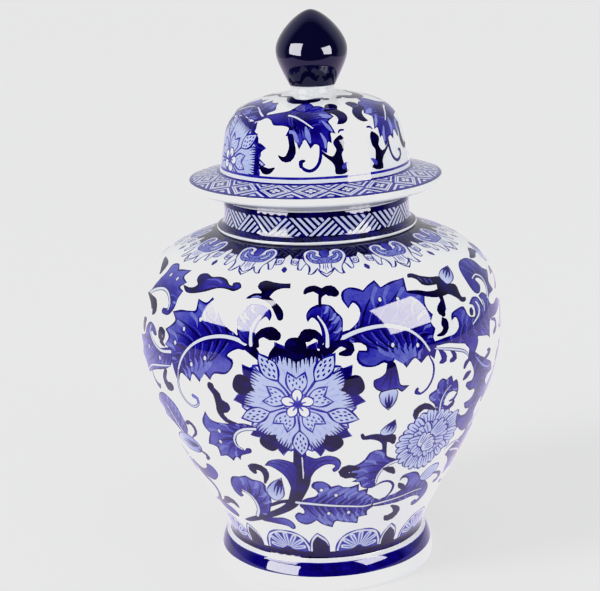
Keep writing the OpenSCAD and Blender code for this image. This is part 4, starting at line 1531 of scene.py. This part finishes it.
def dome_field(page):
    """The painting on the dome: a flower, a great leaf and stems, mirrored about DOME_MIRROR."""
    main_flower(page, -61, 9.5, 0.8, 18, balls=False)
    comma(page, (-24.8, 8, 0.5), (-28, 6.4, 1.5), (-31.5, 6.6, 1.8), (-34.6, 9, 0.6))
    comma(
        page, (-62, 57, 0.4), (-46, 58.6, 1.2), (-38, 57.4, 1.8), (-30, 54, 2.4), (-20, 51.8, 3.1),
        (-10, 52, 2.6), (-4, 52.6, 2.6), (3, 54.2, 2.8), (8, 56, 1.8), (15, 57.4, 0.7))
    comma(page, (12, 56.6, 0.6), (16, 55, 1.4), (19.6, 54.6, 1.2))
    page.leaf(
        [(-38, 34.2), (-40, 38, 1), (-35, 41), (-38, 45, 1), (-42, 49, 1), (-49, 48), (-56, 51, 1),
         (-60, 46), (-70, 45.4, 1), (-64, 40), (-68, 35, 1), (-58, 34), (-50, 33), (-44, 31.8)],
        [(-40, 35), (-47, 38), (-54, 41), (-60, 42)], 0.85, 0.6, 6, (), 1.1, reach=9)
    page.leaf(
        [(-46, 31.6), (-40, 35.6), (-33, 37.4), (-25, 39.6), (-20, 41.2), (-16.5, 44), (-14.6, 47),
         (-12, 49), (-8, 49.8), (-4, 49.4), (-1, 47.4), (0.4, 45.4, 1), (4, 45.6), (8, 44.6), (11, 42.4),
         (11.5, 39), (14.6, 35.4, 1), (11.5, 33.6), (9.6, 32), (11.4, 29), (13.4, 25.4, 1), (10.2, 26),
         (10.2, 21, 1), (8.2, 21.4), (7, 16.2, 1), (5.4, 17), (3, 19.6), (0, 20.6), (-2.3, 18.8, 1),
         (-4, 21.4), (-6.4, 23), (-9.3, 18.6, 1), (-10.6, 21.4), (-14, 23.8), (-17.6, 25, 1), (-16, 28.4),
         (-18, 29.8), (-23, 30.4), (-28, 30.6), (-31, 33), (-36, 34.6), (-41, 33)],
        [(-19, 37), (-14, 36), (-8, 33.2), (-4, 30.8), (-0.6, 28.6)], 1.0, 0.8, 9, (), 1.3, reach=13)
    for rows in (
            [(-15.4, 27, 0.8), (-13.4, 25.4, 1.7), (-10.4, 22, 0.8)],
            [(-5.4, 29.4, 0.5), (-4.2, 25.6, 1.3), (-2.6, 21.4, 0.6)],
            [(4, 26, 0.3), (6.6, 22, 0.9), (6.8, 18.4, 0.4)],
            [(5, 37.6, 0.6), (9, 36, 1.6), (12.6, 35.4, 0.6)],
            [(6, 32.6, 0.4), (9, 29.6, 1.0), (11.6, 26.6, 0.4)]):
        comma(page, *rows, tone=0.36)
    page.shape(
        [(8.6, 40.4), (10.4, 43), (11, 45.6), (14, 47.4), (18, 47.6), (22, 46.4), (22.6, 44), (20.6, 41),
         (23.6, 38.4), (25.2, 35.4), (23.8, 32), (20, 30.2), (16, 30.4, 1), (17.6, 33), (17, 35.6),
         (14.4, 37.6), (11.4, 38.4)], 0.98, 1.0, 0.4)
    page.line([(11, 43), (14, 42), (19, 42.4)], 0.7, 0.5)
    comma(
        page, (-15, 24.4, 1.6), (-13.8, 20, 1.6), (-13.8, 16.4, 2.2), (-16, 13.2, 2.0), (-19.4, 12.8, 1.2),
        (-22, 14.4, 0.4))
    page.shape(
        [(16.6, 24.4, 1), (18.2, 23), (18.8, 20.4), (18.1, 17), (16.4, 15), (16.6, 12), (17.6, 9),
         (20.4, 6.2, 1), (17, 4.6), (12, 4.8), (11.8, 8), (10.4, 10.6), (6.6, 13.6), (3.2, 16.4),
         (3.6, 17.6), (7.2, 14.8), (10.8, 13.6), (12.6, 15.6), (13.2, 17.4), (12, 19.4), (11.8, 21.2),
         (14, 23.2)], 1.0, 1.0, 0.4)
    comma(page, (15.4, 25.4, 0.3), (16.8, 26.8, 0.6), (19.2, 26.9, 0.5), tone=0.85)
    page.line(
        [(3.2, 20.5), (3.8, 16), (2.6, 11), (0, 7.9), (-3.2, 6.8), (-6.6, 7.8), (-8.5, 10)], 1.7, 0.88)
    comma(page, (-8.2, 9, 0.9), (-8.2, 11.4, 1.2), (-6.2, 12, 0.6), tone=0.88)
    comma(page, (20.6, 10.6, 0.3), (18.8, 9.6, 1.0), (17.2, 8, 1.2), tone=0.55)
    for loop, tone in list(page.areas):
        turned = loop[::-1] * [-1, 1] + [2 * DOME_MIRROR, 0]
        page.areas.append((turned, reflected(tone)))


def reflected(tone):
    return lambda a, v: tone(2 * DOME_MIRROR - a, v)


# ---------------------------------------------------------------- materials

WHITE_CLAY = (0.83, 0.845, 0.86, 1)
# the colour of the painting at each strength of the cobalt
RAMP = [
    (0.00, (0.86, 0.87, 0.88, 1)),
    (0.12, (0.54, 0.60, 0.84, 1)),
    (0.30, (0.26, 0.31, 0.70, 1)),
    (0.50, (0.085, 0.090, 0.48, 1)),
    (0.70, (0.020, 0.014, 0.32, 1)),
    (0.85, (0.006, 0.001, 0.17, 1)),
    (1.00, (0.002, 0.000, 0.030, 1)),
]
POOLS, FINE = (5.0, 3.0, 0.42), (1.1, 2.0, 0.22)  # size in mm, detail and share of the cobalt's unevenness
COBALT_BASE = 0.68  # share of the strength that is even
CLOUD_SIZE, CLOUD_DARKEST = 7.0, 0.94  # the faint cloudiness of plain glaze
RIPPLE_SIZE = 14.0  # millimetres


def noise(tree, where, size_mm, **settings):
    """Noise whose features are about that size."""
    node = add(tree, "TexNoise", Scale=1.0 / (size_mm * MM), **settings)
    tree.links.new(where, node.inputs["Vector"])
    return node


def maths(tree, operation, first, second):
    node = add(tree, "Math", operation=operation)
    for i, value in enumerate((first, second)):
        if isinstance(value, (int, float)):
            node.inputs[i].default_value = value
        else:
            tree.links.new(value, node.inputs[i])
    return node.outputs[0]


def glaze(name, paint=True, base=WHITE_CLAY, rough=0.045, ripple=0.02):
    """Clear glaze over porcelain: painted cobalt under it, a faint ripple on it."""
    material = bpy.data.materials.new(name)
    tree = nodes_of(material)
    place = add(tree, "TexCoord").outputs["Object"]
    shader = add(tree, "BsdfPrincipled", Roughness=rough, IOR=1.5)
    if paint:
        strength = add(tree, "Attribute", attribute_name="cobalt").outputs["Fac"]
        pools, fine = (
            maths(tree, "MULTIPLY", noise(tree, place, size, Detail=detail).outputs["Fac"], share)
            for size, detail, share in (POOLS, FINE))
        swing = maths(tree, "ADD", pools, fine)
        uneven = maths(tree, "MULTIPLY", strength, maths(tree, "ADD", swing, COBALT_BASE))
        ramp = add(tree, "ValToRGB")
        stops = ramp.color_ramp.elements
        stops[0].position, stops[0].color = RAMP[0]
        stops[1].position, stops[1].color = RAMP[-1]
        for position, color in RAMP[1:-1]:
            stops.new(position).color = color
        tree.links.new(uneven, ramp.inputs[0])
        tree.links.new(ramp.outputs[0], shader.inputs["Base Color"])
    else:
        cloud = noise(tree, place, CLOUD_SIZE, Detail=4.0).outputs["Fac"]
        tint = add(tree, "Mix", data_type="RGBA")
        tint.inputs["A"].default_value = [c * CLOUD_DARKEST for c in base[:3]] + [1]
        tint.inputs["B"].default_value = base
        tree.links.new(cloud, tint.inputs[0])
        tree.links.new(tint.outputs["Result"], shader.inputs["Base Color"])
    wave = noise(tree, place, RIPPLE_SIZE, Detail=1.0).outputs["Fac"]
    bump = add(tree, "Bump", Strength=ripple, Distance=1.0 * MM)
    tree.links.new(wave, bump.inputs["Height"])
    tree.links.new(bump.outputs[0], shader.inputs["Normal"])
    out = add(tree, "OutputMaterial")
    tree.links.new(shader.outputs[0], out.inputs[0])
    return material


painted = glaze("painted_porcelain")
white = glaze("white_porcelain", paint=False)
bare = glaze("bare_porcelain", paint=False, base=(0.78, 0.76, 0.72, 1), rough=0.55, ripple=0.15)
dark = glaze("cobalt_glaze", paint=False, base=(0.004, 0.003, 0.035, 1))


# ---------------------------------------------------------------- the pieces

def make_piece(node, body, material, art=None):
    """The visual piece for a CAD node; art gives (side, corners, paint) parts for the painted runs.
    Each art function knows its own run by its size and its place, and gives None for the others."""
    parts = []
    for side in sides_of(node):
        drawn = art(side) if art else None
        parts += drawn or [(side, *plain_corners(side, 0.0, side.v[-1]))]
    piece = build(node + "_glazed", parts)
    piece.data.materials.append(material[0])
    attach(piece, body)
    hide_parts(node)
    return piece


def strips(side, cuts, *painted_areas):
    """Parts for a run cut at some v, each with its own painted areas."""
    edges = [0.0, *cuts, side.v[-1]]
    parts = []
    for low, high, areas in zip(edges[:-1], edges[1:], painted_areas):
        made = painted_corners(side, areas, low, high) if areas else plain_corners(side, low, high)
        parts.append((side, *made))
    return parts


def drawn_by(side, draw, period):
    """What a drawing function paints on a run, at every repeat round the jar."""
    page = Painter(side.radius)
    draw(page)
    return repeated(page.areas, period)


# Where a painting starts or ends is given by (radius, height) in millimetres, the lines on its edges by v.
FOOT_BAND, COVE_TOP, FOOT_EDGE = ((59.0, 9.1), (56.2, 16.1)), (54.2, 17.8), (59.5, 4)
BORDER_TOP, FIELD_TOP = 18.0, 174.5
NECK_RIM, NECK_TOP, NECK_LIP = (53.5, 191.5), (49.7, 206.5), (49.3, 207)
BARS_FOOT, BARS_HEAD = (50.2, 194.2), (49.9, 203.7)
FLANGE_END, DOME_END = (51.3, 221.3), (12.4, 261.8)


def foot_art(side):
    """A cobalt band round the foot; above its white cove the dark line of the border ends on the foot."""
    if side.v[-1] < 30:
        return None
    low, high = (side.near(*at) for at in FOOT_BAND)
    cove = side.near(*COVE_TOP)
    band, edge = ring(low, high, 0.88, 0.08, 0.08), ring(high - 0.5, high, 0.7, 0.06, 0.06)
    line = ring(cove, side.v[-1], 0.97, 0.06, 0.0)
    return strips(side, [side.near(*FOOT_EDGE)], [], [band, edge, line])


def body_art(side):
    """The painted outside of the jar: border, field and shoulder."""
    if side.run[:, 0].max() < 98 * MM or side.run[0, 1] > side.run[-1, 1]:
        return None
    border = [*drawn_by(side, lower_border, 360.0 / MEDALLIONS), ring(0.0, 1.4, 1.0, 0.0, 0.08)]
    leaves, lappets = drawn_by(side, field, 180.0), drawn_by(side, shoulder, 360.0 / LAPPETS)
    return strips(side, [BORDER_TOP, FIELD_TOP], border, leaves, lappets)


def neck_art(side):
    """Triangles of pale bars on cobalt; the rim of the skirt under them is white."""
    if side.near(49.9, 200) in (0.0, side.v[-1]) or side.run[0, 0] > 49.5 * MM or side.run[0, 1] > 195 * MM:
        return None
    rim, top = side.near(*NECK_RIM), side.near(*NECK_TOP)
    low, high = side.near(*BARS_FOOT), side.near(*BARS_HEAD)
    bars = drawn_by(side, lambda page: neck_bars(page, low, high), 360.0 / BARS)
    return strips(side, [rim - 1.0, side.near(*NECK_LIP)], [], [ring(rim, top, 0.95, 0.1, 0.0), *bars], [])


def flange_art(side):
    """Lozenges with florets on top of the flange."""
    if side.near(60, 219) in (0.0, side.v[-1]) or side.run[-1, 1] < 221 * MM:
        return None
    end = side.near(*FLANGE_END)
    ground = [ring(0.0, end, 0.74)]
    pattern = drawn_by(side, lozenges, 360.0 / LOZENGES)
    lines = [ring(0.35, 1.5, 0.86, 0.05, 0.05), ring(0.0, 0.35, 0.03, 0.0, 0.05)]
    lines.append(ring(end - 0.6, end, 0.8, 0.05, 0.0))
    return strips(side, [end], ground + pattern + lines, [])


def dome_art(side):
    """The painting on the dome, with thin lines round its foot."""
    if side.run[0, 0] < 51 * MM or side.v[-1] < 60:
        return None
    end = side.near(*DOME_END)
    lines = [
        ring(0.0, 2.4, 0.03, 0.0, 0.05), ring(2.4, 3.7, 0.68, 0.06, 0.06), ring(0.0, 0.5, 0.8, 0.0, 0.05)]
    return strips(side, [end], drawn_by(side, dome_field, 180.0) + lines, [])


GLAZED = (painted, "painted_porcelain")
foot = make_piece("foot_ring", "jar", GLAZED, foot_art)
body = make_piece("jar_body", "jar", GLAZED, body_art)
neck = make_piece("neck_ring", "jar", GLAZED, neck_art)
make_piece("locating_collar", "lid", (bare, "bare_porcelain"))
flange = make_piece("lid_flange", "lid", GLAZED, flange_art)
make_piece("lid_dome", "lid", GLAZED, dome_art)
seat = make_piece("finial_seat", "lid", (white, "white_porcelain"))
bud_piece = make_piece("finial_bud", "lid", (dark, "cobalt_glaze"))

glint_on(foot)
light_only("left_panel", [foot, body, neck, flange, seat, bud_piece])
